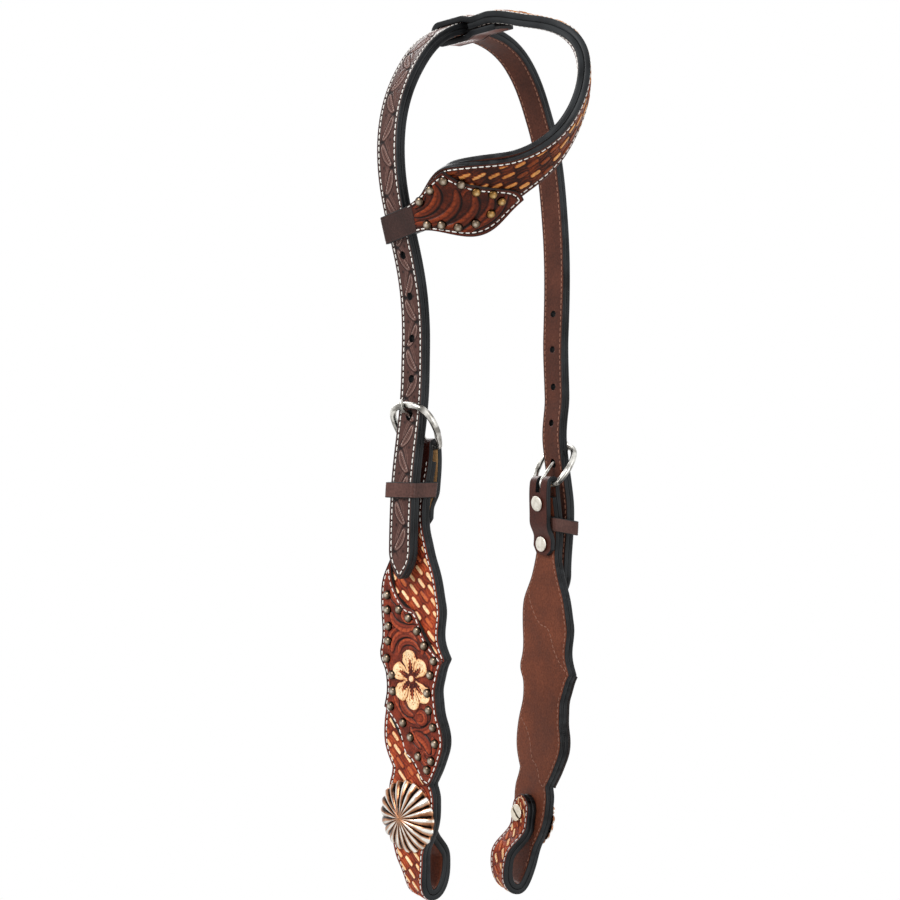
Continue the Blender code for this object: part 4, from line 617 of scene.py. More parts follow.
def carve(b, s, strokes, rise, tone):
    # rounded scrolls: each stroke stands up across its width, with a deep cut down its outer side
    for line, width, side in strokes:
        off, sided, where = strokeField(b, s, line, width)
        sided, body = sided * side, smoothStep(1.15, 0.75, off)
        slope = 0.5 + 0.5 * np.clip(sided, -1, 1)
        vein = bell(sided + 0.15, 0.16) * body * smoothStep(0.05, 0.25, where) * smoothStep(0.95, 0.7, where)
        cut = bell(off - 1.2, 0.22) * (0.45 + 0.55 * (sided < 0))
        ribs = np.clip(np.sin(where * 46 + 2.4 * sided * side), 0, 1) ** 2 * (slope > 0.45)
        rise = rise * (1 - body) + mm * body * (0.08 + 0.40 * slope)
        rise = rise - mm * (0.34 * cut + 0.16 * vein + 0.06 * ribs * body)
        # tone climbs across each stroke from one side to the other as painted light and shade; veins, ribs
        # and the cut are painted darker as shade
        shade = 0.36 + 0.27 * slope - 0.20 * vein - 0.10 * ribs
        tone = tone * (1 - body) + body * shade - 0.42 * cut
    return rise, tone


rose = {
    "centre": (-2.2, 121.8), "half": 0.0049, "grow": 1.06, "knob": 0.0017, "ring": 0.0030,
    "petals": ((2.2, -14.2), (-8.8, -9.0), (-11.2, 10.1), (-1.6, 15.2), (9.3, 10.2), (12.3, -4.3)),
}


def wildRose(b, s, rise, tone):
    # six spoon-shaped petals: half width grows along each petal's own line, then closes in a round tip;
    # each point takes the petal it is deepest in, and the shared borders and the outline are cut and painted
    # dark as shade
    x, y = b - rose["centre"][0] * mm, s - rose["centre"][1] * mm
    radius, angle = np.hypot(x, y), np.arctan2(y, x)
    depth, second = np.full(b.shape, -1.0), np.full(b.shape, -1.0)
    share, across = np.zeros(b.shape), np.zeros(b.shape)
    for k, (px, py) in enumerate(rose["petals"]):
        reach = math.hypot(px, py) * mm
        ux, uy = px * mm / reach, py * mm / reach
        reach *= rose["grow"]
        along, aside = (x * ux + y * uy) / reach, y * ux - x * uy
        opening = np.clip(along / 0.66, 0, 1) ** 0.85
        closing = np.sqrt(np.clip(1 - (np.clip(along - 0.66, 0, 1) / 0.34) ** 2, 0, 1))
        ruffle = 1 + 0.05 * np.cos(along * 21 + k * 1.7)
        room = rose["half"] * np.where(along < 0.66, opening, closing) * ruffle - np.abs(aside)
        room = np.where((along > 0.02) & (along < 1), room, -1.0)
        second = np.maximum(second, np.minimum(depth, room))
        depth, share, across = nearest(room > depth, (room, depth), (along, share), (aside, across))
    inside = smoothStep(-0.15 * mm, 0.15 * mm, depth)
    border = bell(depth - np.maximum(second, 0), 0.42 * mm) * (second > 0)
    outline, bent = bell(depth + 0.30 * mm, 0.30 * mm), across + 0.5 * mm * share
    # stamens fan out over the inner part, veins and flecks over the outer part
    spread = 0.35 + 0.95 * np.sin(np.clip(share / 0.66, 0, 1) * math.pi) ** 0.8 + 0.30 * np.sin(share * 52)
    stamen = smoothStep(0.2 * mm, -0.1 * mm, np.abs(bent) - mm * spread) * smoothStep(0.70, 0.60, share)
    stamen = stamen * (1 - 0.75 * bell(bent, 0.22 * mm) * smoothStep(0.30, 0.40, share))
    veins = bell(np.abs(across) - 2.5 * mm * np.clip(share * 1.5, 0, 1), 0.20 * mm)
    veins = veins * smoothStep(0.84, 0.6, share)
    flecks = hashed(np.round(across / (0.5 * mm)) * 5.1 + np.round(share * 30) * 2.3) > 0.94
    flecks = flecks * smoothStep(0.5, 0.62, share) * smoothStep(0.92, 0.86, share)
    dark = np.clip(0.95 * stamen + 0.45 * veins + 0.50 * flecks + border, 0, 1)
    rim = np.clip(depth / (1.6 * mm), 0, 1)
    # a darker band inside each petal's rim is painted shade in its cup
    petalTone = 0.98 - 0.12 * np.sin(rim * 3.1) * (share < 0.95) - 0.84 * dark
    rise = rise * (1 - inside) + inside * mm * (0.52 - 0.20 * rim + 0.10 * share - 0.26 * dark)
    rise = rise - 0.34 * mm * outline
    tone = tone * (1 - inside) + inside * petalTone - 0.5 * outline * (1 - inside)
    # a beaded ring round a domed knob
    ring = smoothStep(rose["ring"] + 0.35 * mm, rose["ring"] - 0.1 * mm, radius)
    beads = np.clip(np.cos(angle * 15), 0, 1) ** 1.5 * bell(radius - 2.3 * mm, 0.42 * mm)
    rise = rise * (1 - ring) + ring * mm * (0.15 + 0.30 * beads)
    tone = tone * (1 - ring) + ring * (0.14 + 0.52 * beads)
    knob = smoothStep(rose["knob"] * 1.12, rose["knob"] * 0.85, radius)
    dome = np.sqrt(np.clip(1 - (radius / rose["knob"] / 1.15) ** 2, 0, 1))
    return rise * (1 - knob) + knob * (0.35 * mm + 0.5 * mm * dome), tone * (1 - knob) + knob * 0.97


def cheekScrolls():
    # (line, half width, raised side) of the scrolls and leaves over and under the rose, in mm of b and s
    lines = [
        (((11.9, 108.5), (11.2, 104.6), (9.0, 101.2), (4.3, 98.7), (-1.5, 99.0), (-5.6, 101.6)), 2.0, -1),
        (((6.9, 109.0), (6.0, 105.4), (1.8, 102.6), (-3.8, 103.2), (-7.6, 106.2)), 1.7, -1),
        (((12.6, 88.6), (11.0, 92.4), (6.6, 95.0), (1.6, 95.6), (-5.0, 94.2)), 2.1, 1),
        (((4.4, 86.6), (4.0, 89.4), (1.2, 91.6), (-3.0, 91.6)), 1.5, 1),
        (((15.0, 108.0), (14.6, 103.0), (12.8, 98.6), (9.4, 96.4)), 1.2, 1),
        (((13.0, 76.0), (11.4, 80.2), (7.6, 83.4), (8.4, 87.0)), 1.6, -1),
        (((-6.4, 98.0), (-9.2, 100.6), (-10.4, 104.8), (-9.6, 108.4)), 1.3, 1),
        (((-12.0, 107.0), (-14.6, 109.6), (-15.8, 114.0), (-15.4, 119.0)), 1.2, -1),
        (((16.0, 112.0), (15.8, 118.0), (14.6, 124.0), (14.8, 130.0)), 1.2, 1),
        (((10.6, 128.4), (9.0, 134.0), (5.2, 139.0), (0.4, 142.8), (-4.6, 144.6)), 1.7, 1),
        (((5.6, 132.6), (4.4, 136.6), (1.0, 139.8), (-3.0, 141.0)), 1.9, -1),
        (((-5.8, 139.6), (-9.6, 138.4), (-12.0, 141.4), (-10.0, 144.6), (-6.2, 144.2)), 1.3, 1),
        (((-14.6, 134.6), (-17.2, 138.6), (-16.8, 143.2), (-13.2, 147.0), (-8.2, 148.8), (-3.2, 148.4)),
         1.9, -1),
        (((-4.6, 150.4), (-8.6, 151.8), (-12.6, 154.6), (-14.6, 158.6)), 2.6, 1),
        (((-1.4, 147.6), (-2.8, 151.4), (-5.6, 155.0), (-8.6, 157.2)), 1.6, -1),
        (((-13.4, 160.6), (-11.2, 159.2), (-10.4, 161.4), (-12.2, 163.2), (-14.8, 162.4)), 0.9, 1),
        (((-8.6, 159.6), (-9.2, 163.0), (-12.0, 166.0), (-15.2, 167.6)), 1.2, -1),
        (((-16.8, 150.6), (-18.0, 154.8), (-17.4, 159.4)), 1.3, 1),
        (((-13.6, 170.6), (-15.4, 169.4), (-16.6, 165.6)), 0.9, 1),
    ]
    return [(bend(line), width * mm, side) for line, width, side in lines]


def bend(line):
    # smooth curve through points given in millimetres
    line = np.array(line) * mm
    spots = lengthsAlong(line)
    return naturalCurve(spots, line, np.linspace(0, spots[-1], 24))


def patina(b, s):
    # slow uneven dye: two crossed waves bent by each other, from 0 to 1
    wave = np.sin(b / (2.3 * mm) + 1.7 * np.sin(s / (3.9 * mm)))
    return 0.5 + 0.5 * wave * np.sin(s / (3.1 * mm) + 1.4 * np.sin(b / (2.7 * mm)))


def mattedGround(b, s, grain, lit):
    # stamped background: a hashed dent per grain, lit by the patina
    dent = hashed(np.round(b / grain) * 3.7 + np.round(s / grain) * 9.1)
    return -0.10 * mm * dent, 0.30 + lit * patina(b, s) - 0.12 * dent


vine = {"swing": 0.0021, "run": 0.027, "stem": 0.00042, "leaf": (0.0066, 0.0019), "aside": 0.0010,
        "turn": (0.86, 0.50), "curl": 24.0, "bead": (0.0078, 0.0026)}


def runningVine(along, aside, wide):
    # a double stem waving as a sine, with a ribbed leaf (a turned and curled ellipse) off each bend and
    # beads between
    (cosine, sine), (leafLong, leafWide), (beadOn, beadOff) = vine["turn"], vine["leaf"], vine["bead"]
    off = aside - vine["swing"] * np.sin(along / vine["run"] * math.tau)
    ridge, groove = bell(np.abs(off) - vine["stem"], 0.24 * mm), bell(off, 0.25 * mm)
    # raised stems and leaves are painted lighter as highlight, with a painted highlight near each leaf's rim;
    # grooves, cuts, veins, ribs and bead dents are painted darker as shade
    rise, tone = 0.16 * mm * ridge - 0.12 * mm * groove, 0.42 + 0.34 * ridge - 0.30 * groove
    for shift, side in ((0.25, -1), (0.75, 1)):
        local = (np.mod(along / vine["run"] - shift + 0.5, 1) - 0.5) * vine["run"]
        lean = aside - side * vine["aside"]
        p, q = local * cosine + side * lean * sine, lean * cosine - side * local * sine
        q = q + side * vine["curl"] * p**2
        shape = (p / leafLong) ** 2 + (q / leafWide) ** 2
        leaf, cut = smoothStep(1.25, 0.85, shape), bell(shape - 1.45, 0.30)
        vein = bell(q, 0.22 * mm) * leaf
        ribs = (0.5 + 0.5 * np.sin((p + np.abs(q) * 1.3) / (0.21 * mm))) * leaf
        bead = bell(np.hypot(local - beadOn, aside + side * beadOff), 0.55 * mm)
        rise = rise * (1 - leaf) + mm * (0.26 * leaf - 0.14 * ribs - 0.16 * vein - 0.22 * cut - 0.25 * bead)
        tone = tone * (1 - leaf) + leaf * 0.68 - 0.26 * ribs - 0.30 * vein - 0.34 * cut - 0.40 * bead
        tone = tone + 0.22 * leaf * bell(shape - 0.8, 0.25)
    fade = smoothStep(0.5, 0.36, np.abs(aside) / wide)
    return rise * fade, 0.46 + (tone - 0.46) * fade


print("patterns ready")
# cheeks
rearLine = (
    ((0.150, 0.373), (0.188, 0.40), (0.250, 0.625), (0.292, 0.858), (0.329, 0.921), (0.365, 0.912),
     (0.432, 0.894), (0.4525, 0.948)),
    ((0.4525, 0.948), (0.474, 0.921), (0.490, 0.818), (0.515, 0.742), (0.544, 0.733), (0.565, 0.778),
     (0.588, 0.840), (0.625, 0.894), (0.667, 0.854), (0.692, 0.733), (0.710, 0.616)),
    ((0.710, 0.616), (0.725, 0.638), (0.750, 0.715), (0.800, 0.700), (0.850, 0.645), (0.881, 0.602),
     (0.917, 0.494), (0.938, 0.413), (0.962, 0.371)),
)
frontLine = (
    ((0.150, 0.373), (0.188, 0.42), (0.2025, 0.467), (0.242, 0.598), (0.267, 0.706), (0.296, 0.804),
     (0.332, 0.885), (0.352, 0.926), (0.417, 0.885), (0.437, 0.952), (0.459, 1.083)),
    ((0.459, 1.083), (0.475, 0.984), (0.504, 0.885), (0.525, 0.827), (0.553, 0.845), (0.5825, 0.903),
     (0.606, 1.002), (0.650, 1.052), (0.675, 0.962), (0.700, 0.845), (0.735, 0.638)),
    ((0.735, 0.638), (0.758, 0.728), (0.779, 0.742), (0.808, 0.728), (0.833, 0.665), (0.860, 0.544),
     (0.885, 0.418), (0.920, 0.371)),
)
foldRadius = 0.0016 + stock["gap"] + stock["thick"] / 2
outerMiddle = cheek["face"] - stock["thick"] / 2
liningMiddle = outerMiddle - stock["step"]
tabMiddle = liningMiddle - stock["step"]
bitTabMiddle = tabMiddle - stock["step"]


def halfWidth(runs, downs):
    # natural curves through each run of the table, the neck above them and the strap below
    shares = np.asarray(downs, float) / cheek["length"]
    found = np.full(shares.shape, cheek["neck"] / 2)
    for run in runs:
        spots, widths = np.array(run).T
        inside = (shares >= spots[0]) & (shares <= spots[-1])
        found = np.where(inside, naturalCurve(spots, widths, shares) * cheek["width"] / 2, found)
    return np.where(shares > runs[-1][-1][0], cheek["strap"] / 2, found)


def cheekPath(side):
    # up the bit tab, round the loop, up the face, over the bar and down the buckle tab, in n and s
    def onFold(degrees):
        turn = math.radians(degrees)
        return (foldRadius * math.cos(turn), foldRadius * math.sin(turn), degrees - 90)

    bottom = cheek["length"] - stock["thick"] / 2
    deepest = cheek["face"] - hang[side]["loopDepth"] + stock["thick"] / 2
    high, middle = cheek["loopHeight"], (deepest + outerMiddle) / 2
    return bezierPath([
        (bitTabMiddle, cheek["tabTop"], 90), (bitTabMiddle, bottom - high * 1.12, 90),
        (deepest, bottom - high * 0.55, 90),
        (middle, bottom, 0), (outerMiddle - (outerMiddle - middle) * 0.22, bottom - high * 0.36, -76),
        (outerMiddle, bottom - high, -90), (outerMiddle, cheek["neckRise"], -90),
        onFold(0), onFold(-45), onFold(-90), onFold(-135), onFold(-172),
        (-0.0024, cheek["bend"], -276.5), (0.0026, cheek["rivetLow"] - cheek["rivetCap"] / 4, -275),
        (tabMiddle, cheek["buckleTab"], -270),
    ])


def stripOf(place, path, tabEnd=False):
    # pointAt(row, share, height) and the width at each row of a strip laid on the path
    lengths, ahead = lengthsAlong(path), tangentsAlong(path)
    fold, lowest = int(np.argmin(path[:, 1])), int(np.argmax(path[:, 1]))
    fold = fold if fold > lowest else len(path) - 1
    half = cheek["strap"] / 2

    def edges(row):
        down, left = np.interp(row, lengths, path[:, 1]), lengths[-1] - row
        facing = (row > lengths[lowest]) & (row < lengths[fold])
        inside = np.clip(half - row, 0, half)
        cap = np.where(row < half, np.sqrt(np.maximum(half**2 - inside**2, (half / 4) ** 2)), 1.0)
        if tabEnd:
            clipped = np.interp(left, [0, half * 0.5], [half * 0.6, half])
            cap = np.minimum(cap, np.where(left < half, clipped, 1.0))
        widths = (halfWidth(line, down) for line in (rearLine, frontLine))
        return [np.minimum(np.where(facing, width, half), cap) for width in widths]

    def pointAt(row, share, height):
        flat, way = atLengths(path, lengths, row), atLengths(ahead, lengths, row)
        rear, front = edges(row)
        return place(flat[..., 0] - way[..., 1] * height, rear - share * (rear + front),
                     flat[..., 1] + way[..., 0] * height)

    def wide(row):
        return np.sum(edges(row), axis=0)

    return pointAt, wide


def seamLine(pointAt, rows, shares, height, flip=1.0):
    # a seam's points on the surface, with normals measured from a small step in height
    rows, shares = np.broadcast_arrays(np.asarray(rows, float), np.asarray(shares, float))
    base = pointAt(rows, shares, np.full(rows.shape, height))
    lifted = pointAt(rows, shares, np.full(rows.shape, height + flip * 0.2 * mm))
    return base, unit(lifted - base)


overlayTop = ((0, 0.250), (0.10, 0.275), (0.17, 0.296), (0.25, 0.318), (0.34, 0.340), (0.47, 0.354),
              (0.58, 0.360), (0.65, 0.378), (0.72, 0.402), (0.80, 0.424), (0.90, 0.447), (1, 0.4655))
overlayBottom = ((0, 0.579), (0.13, 0.598), (0.20, 0.608), (0.28, 0.625), (0.34, 0.646), (0.39, 0.672),
                 (0.48, 0.687), (0.60, 0.704), (0.68, 0.718), (0.80, 0.731), (1, 0.7375))
overlayMiddle = cheek["face"] + stock["gap"] + stock["overlay"] / 2


def overlaySpot(row, share):
    # place across and down, width and length at a share of the overlay between its two scrolled lines
    top, bottom = (tableCurve(line, share) * cheek["length"] for line in (overlayTop, overlayBottom))
    down = top + row * (bottom - top)
    rear, front = halfWidth(rearLine, down), halfWidth(frontLine, down)
    return rear - share * (rear + front), down, rear + front, bottom - top


def overlayRelief(row, share, width):
    # rose and scrolls on matted ground inside a stitch groove; the skived edge falls away, and groove and
    # edge are painted darker as shade
    b, down, span, reach = overlaySpot(row, share)
    rise, tone = mattedGround(b, down, 0.7 * mm, 0.20)
    rise, tone = carve(b, down, cheekScrolls(), rise, tone)
    rise, tone = wildRose(b, down, rise, tone)
    off = np.minimum(fromEdge(share, span), fromEdge(row, reach) * 0.8)
    inner = smoothStep(2.1 * mm, 2.8 * mm, off)
    groove, fall = bell(off - seam["overlay"], 0.45 * mm), np.clip(1 - off / (1.2 * mm), 0, 1)
    return (rise * inner - 0.15 * mm * groove - 0.80 * mm * fall,
            0.42 + (tone - 0.42) * inner - 0.26 * groove - 0.24 * fall)


def dressCheekFace(name, place, path):
    # outer layer: basket stamped to the neck, plain above it and painted dark there as shade, tab leather
    # with its flesh side past the fold
    lengths = lengthsAlong(path)
    pointAt, wide = stripOf(place, path, tabEnd=True)
    lowest, fold = lengths[np.argmax(path[:, 1])], lengths[np.argmin(path[:, 1])]
    faceTop, tip = fold - cheek["plainShadedNeck"], cheek["strap"] / 2
    dense = [(lowest - 0.02, faceTop + 0.004, 0.42 * mm), (0, 0.040, 0.6 * mm)]
    rows = evenly(lengths[-1], 1.1 * mm, dense, tip)

    def relief(row, share, width):
        down = np.interp(row, lengths, path[:, 1])
        rear, front = halfWidth(rearLine, down), halfWidth(frontLine, down)
        rise, tone = basketWork(rear - share * (rear + front), np.where(row < lowest, row, -row))
        edgeRise, edgeTone = edgeRow(share, width)
        stop = smoothStep(faceTop + 0.006, faceTop, row)
        inner = smoothStep(2.3 * mm, 3.0 * mm, fromEdge(share, width)) * stop
        # above the basket the tone drops to 0.10: painted shade on the neck
        return rise * inner + edgeRise * stop, 0.10 + 0.36 * stop + (tone - 0.46) * inner + edgeTone * stop

    outer = slab(f"{name}CheekOuter", pointAt, rows, wide(rows), stock["thick"], 84,
                 [cheekFace, darkEdge, liningFace, tabFace, fleshFace], relief, lay=(0, stock["press"]),
                 repaint=(fold, (3, 1, 4)), body="headstall", stands=[f"{name}_cheek"])
    wideSlot, longSlot, slotUp = buckle["slot"]
    punch(outer, boxCutter([place(n * 2.4 * foldRadius, b * wideSlot / 2, s * longSlot / 2 - slotUp)
                            for n in (-1, 1) for b in (-1, 1) for s in (-1, 1)]))
    height, inset = stock["thick"] / 2 - seam["sunkFace"], seam["inset"]
    spots = np.arange(tip, fold - seam["clear"], seam["sample"])
    seams = [seamLine(pointAt, spots, np.abs(edge - inset / wide(spots)), height) for edge in (0, 1)]
    turn = np.radians(np.linspace(-90, 90, 24))
    rowsTip = tip - (tip - inset) * np.cos(turn)
    sharesTip = 0.5 + (tip - inset) * np.sin(turn) / np.maximum(wide(rowsTip), 2 * mm)
    seams.append(seamLine(pointAt, rowsTip, sharesTip, height))
    stitches(f"{name}CheekStitches", seams, whiteThread, "headstall")


def dressCheekLining(name, place, path):
    # inside the outer layer, from the bit tab to just under the fold
    inner = leftOf(path, -stock["step"])
    foldSpot = int(np.argmin(inner[:, 1]))
    kept = np.flatnonzero((inner[:foldSpot, 1] > cheek["liningTop"]) | (np.arange(foldSpot) < foldSpot / 2))
    inner = inner[:kept[-1] + 1]
    lengths = lengthsAlong(inner)
    pointAt, wide = stripOf(place, inner)
    rows = evenly(lengths[-1], 1.2 * mm, tip=cheek["strap"] / 2)
    slab(f"{name}CheekInner", pointAt, rows, wide(rows), stock["thick"], 12,
         [liningFace, darkEdge, cheekLining], lay=(stock["press"], 0), body="headstall",
         stands=[f"{name}_cheek_lining"])
    low = lengths[np.argmax(inner[:, 1])]
    rising = lengths > low
    stop = lengths[rising & (inner[:, 1] > cheek["seamTop"])][-1]
    spots = np.arange(low + seam["clear"], stop, seam["sample"])
    back = seam["sunkBack"] - stock["thick"] / 2
    inset = seam["inset"] / wide(spots)
    seams = [seamLine(pointAt, spots, np.abs(edge - inset), back, -1) for edge in (0, 1)]
    across = np.linspace(0.06, 0.94, 60)
    for line in (overlayTop, overlayBottom):
        row = np.interp(-tableCurve(line, across) * cheek["length"], -inner[rising, 1], lengths[rising])
        seams.append(seamLine(pointAt, row, across, back, -1))
    stitches(f"{name}LiningStitches", seams, tanThread, "headstall")


def dressOverlay(name, place):
    # its rows run from the scrolled top line to the scrolled bottom line
    def overlayAt(row, share, height):
        b, down, _, _ = overlaySpot(row, share)
        return place(overlayMiddle + height, b, down)

    rows = np.linspace(0, 1, 330)
    widths = np.full(len(rows), cheek["width"] * 0.9)
    slab(f"{name}CheekOverlay", overlayAt, rows, widths, stock["overlay"], 120,
         [overlayFace, skivedEdge, tabFace], overlayRelief, under=10, lay=(0, 0.25 * mm), body="headstall",
         stands=[f"{name}_overlay"])
    seams, height = [], stock["overlay"] / 2 - seam["sunk"]
    across, along = np.linspace(0.05, 0.95, 90), np.linspace(0.03, 0.97, 160)
    for edge in (0, 1):
        reach = overlaySpot(0.5, across)[3]
        seams.append(seamLine(overlayAt, np.abs(edge - seam["overlayEnd"] / reach), across, height))
    for edge in (0, 1):
        span = overlaySpot(along, np.full(len(along), float(edge)))[2]
        seams.append(seamLine(overlayAt, along, np.abs(edge - seam["overlay"] / span), height))
    stitches(f"{name}OverlayStitches", seams, whiteThread, "headstall")


def dressCheek(side):
    # the three layers of one cheek; the path is kept for the rivets
    name, place, path = sideNames[side], places[side], cheekPath(side)
    dressCheekFace(name, place, path)
    dressCheekLining(name, place, path)
    dressOverlay(name, place)
    print(name, "cheek dressed")
    return path


# crown strap
crown = {
    "width": 0.016, "point": 0.015, "tip": 0.16, "halfWide": 0.079, "drop": 0.178, "hole": 0.0040,
    "pitch": 0.022, "holes": 4, "firstHole": -0.0138, "foot": 0.770, "yawRun": 0.08,
    "ends": ((0.0168, 0.069, 1.5), (0.0150, 0.0225, 5.0), (0.0119, 0.0, 9.5), (0.0081, -0.024, 6.0)),
    "arch": ((-0.732, -1.000, 88), (-0.817, -0.713, 108), (-0.975, -0.416, 90), (-0.745, -0.135, 53),
             (-0.152, 0.0120, 4), (0.342, -0.048, -42), (0.582, -0.202, -62), (0.778, -0.534, -83)),
    "tongueHole": ((0.113, -0.293), (0.480, -0.633)),
}
buckle = {
    "bar": 0.0032, "arch": 0.0036, "wide": 0.0310, "high": 0.0300, "heel": 0.0262, "fillet": 0.0028,
    "full": 2.6, "tilt": 33.8, "tongue": 0.0021, "clear": 0.0012, "slot": (0.0044, 0.011, 0.0005),
    "pin": ((0.050, -0.217), (0.193, -0.367), (0.323, -0.487), (0.423, -0.580), (0.530, -0.627),
            (0.583, -0.667), (0.610, -0.727), (0.600, -0.785), (0.573, -0.840)),
}


def crownShape():
    # the crown's middle path in space, the directions across it and outward from it
    knots = []
    for n, s, slope in crown["ends"]:
        x, _, z = places[near](n, 0, s)
        knots.append((x, z, 90 - slope))
    knots += [(x * crown["halfWide"], z * crown["drop"], turn) for x, z, turn in crown["arch"]]
    knots.append((crown["foot"] * crown["halfWide"], -hang[far]["drop"] + crown["pitch"] * 2.4, -91))
    for n, s, slope in crown["ends"][::-1]:
        x, _, z = places[far](n, 0, s)
        knots.append((x, z, slope - 90))
    flat = bezierPath(knots)
    lengths = lengthsAlong(flat)
    share, half, hold = lengths / lengths[-1], len(flat) // 2, crown["pitch"] * 2
    top = share[np.argmax(flat[:, 1])]
    nearArch = np.interp(hold, flat[:half, 1] + hang[near]["drop"], share[:half])
    farArch = np.interp(-hold, -(flat[half:, 1] + hang[far]["drop"]), share[half:])
    spots = [0, nearArch, nearArch + crown["yawRun"], top, farArch - crown["yawRun"], farArch, 1]
    first, last = hang[near], hang[far]
    yaws = [first["yaw"]] * 2 + [first["crownYaw"], 0, last["crownYaw"]] + [last["yaw"]] * 2
    yaw = np.pad(np.radians(np.interp(share, spots, yaws)), 15, mode="edge")
    yaw = np.convolve(yaw, np.ones(31) / 31, mode="valid")
    across = np.stack([np.sin(yaw), np.cos(yaw), np.zeros_like(yaw)], axis=1)
    fore = np.zeros(len(flat))
    for side, which in ((near, flat[:, 0] < 0), (far, flat[:, 0] >= 0)):
        n, down = np.abs(flat[:, 0]) - cheek["halfSpan"], -flat[:, 1] - hang[side]["drop"]
        held = smoothStep(-hold * 2, -hold, down)
        beside = places[side](n / math.cos(math.radians(hang[side]["yaw"])), 0, down)[:, 1]
        fore = np.where(which, held * beside + (1 - held) * hang[side]["fore"], fore)
    middle = smoothStep(0.42, 0.58, share)
    inner = (share > nearArch + crown["yawRun"]) & (share < farArch - crown["yawRun"])
    fore = np.where(inner, (1 - middle) * hang[near]["fore"] + middle * hang[far]["fore"], fore)
    points = np.stack([flat[:, 0], fore, flat[:, 1]], axis=1)
    ahead = tangentsAlong(points)
    across = unit(across - np.sum(across * ahead, axis=1, keepdims=True) * ahead)
    return points, across, np.cross(ahead, across), lengthsAlong(points)


crownPoints, crownAcross, crownOut, crownLengths = crownShape()


def crownWide(row):
    # one width that narrows to the pointed ends as a power of a sine
    end = np.minimum(row, crownLengths[-1] - row)
    taper = np.sin(np.clip(end / crown["point"], 0, 1) * math.pi / 2) ** 0.9
    wide = crown["width"] * (crown["tip"] + (1 - crown["tip"]) * taper)
    return wide * np.clip(0.3 + end / (1.2 * mm), 0, 1) ** 0.5


def crownAt(step, flip):
    # a layer of the strap: middle + across * aside + out * (step + height)
    def pointAt(row, share, height):
        aside = ((0.5 - share) * crownWide(row))[..., None]
        parts = crownPoints, crownAcross, crownOut
        middle, across, out = (atLengths(part, crownLengths, row) for part in parts)
        return middle + aside * unit(across) + (step + flip * height)[..., None] * out

    return pointAt


def frameIn(place, n, b, s, axis=(1, 0)):
    # origin and three directions at a point of a cheek; the last runs along axis, the first to the rear
    origin, small = place(n, b, s), 0.3 * mm
    out = unit(place(n + axis[0] * small, b, s + axis[1] * small) - origin)
    rear = place(n, b + small, s) - origin
    rear = unit(rear - np.dot(rear, out) * out)
    return origin, rear, np.cross(out, rear), out


def crownHoles():
    # (origin, axis, radius, length) of the round holes and of the slanted ones that the tongues pass through
    holes, half = [], len(crownPoints) // 2
    for side in (near, far):
        piece = crownPoints[:half, 2] if side == near else crownPoints[half:, 2]
        for hole in range(crown["holes"]):
            depth = hang[side]["drop"] + crown["firstHole"] - (hole + 1) * crown["pitch"]
            spot = int(np.argmin(np.abs(piece + depth))) + (0 if side == near else half)
            holes.append((crownPoints[spot], crownOut[spot], crown["hole"] / 2, stock["strap"] * 2))
        ends = np.array(crown["tongueHole"]) * buckle["high"]
        reach, (n, s) = ends[1] - ends[0], ends.mean(axis=0)
        size = float(np.linalg.norm(reach))
        spot, _, _, axis = frameIn(places[side], n, 0, s, reach / size)
        holes.append((spot, axis, buckle["tongue"] / 2 + buckle["clear"], size))
    return holes


def roundCutter(holes, sides=40):
    # closed cylinders about each hole's axis, as one mesh
    turn, cylinders = roundTurns(sides), []
    for spot, axis, radius, size in holes:
        hint = np.array([0.0, 1.0, 0.0]) if abs(axis[1]) < 0.9 else np.array([1.0, 0.0, 0.0])
        aside = unit(np.cross(axis, hint))
        ring = radius * (np.cos(turn)[:, None] * aside + np.sin(turn)[:, None] * np.cross(axis, aside))
        cylinders.append(skin(np.stack([spot - axis * size / 2 + ring, spot + axis * size / 2 + ring])))
    return joined(cylinders)


def boxCutter(corners):
    # eight corners ordered by n, b, s; faces wind outwards when the frame is right-handed
    quads = np.array([[0, 1, 3, 2], [4, 6, 7, 5], [0, 4, 5, 1], [2, 3, 7, 6], [0, 2, 6, 4], [1, 5, 7, 3]])
    corners = np.array(corners)
    return corners, (quads if facingOut(corners, quads) else quads[:, ::-1]).ravel(), np.full(6, 4)


def punch(obj, cut):
    # an exact difference, kept as the object's own mesh; cut faces take the burnished edge's slot
    tool = putMesh("punch", *cut, obj.data.materials[:], index=np.ones(len(cut[2]), int), smooth=False)
    cutting = obj.modifiers.new("punch", "BOOLEAN")
    cutting.object = tool
    cutting.solver = "EXACT"
    graph = bpy.context.evaluated_depsgraph_get()
    made = bpy.data.meshes.new_from_object(obj.evaluated_get(graph), preserve_all_data_layers=True,
                                           depsgraph=graph)
    obj.modifiers.remove(cutting)
    old = obj.data
    obj.data = made
    made.name = old.name
    bpy.data.meshes.remove(old)
    bpy.data.objects.remove(tool)


def crownRelief(row, share, width):
    # the vine fades out before the ends and the edge row runs on round them
    rise, tone = runningVine(row, (share - 0.5) * width, crown["width"])
    edgeRise, edgeTone = edgeRow(share, width)
    end = smoothStep(0.010, 0.016, np.minimum(row, crownLengths[-1] - row))
    return rise * end + edgeRise, 0.48 + (tone - 0.48) * end + edgeTone


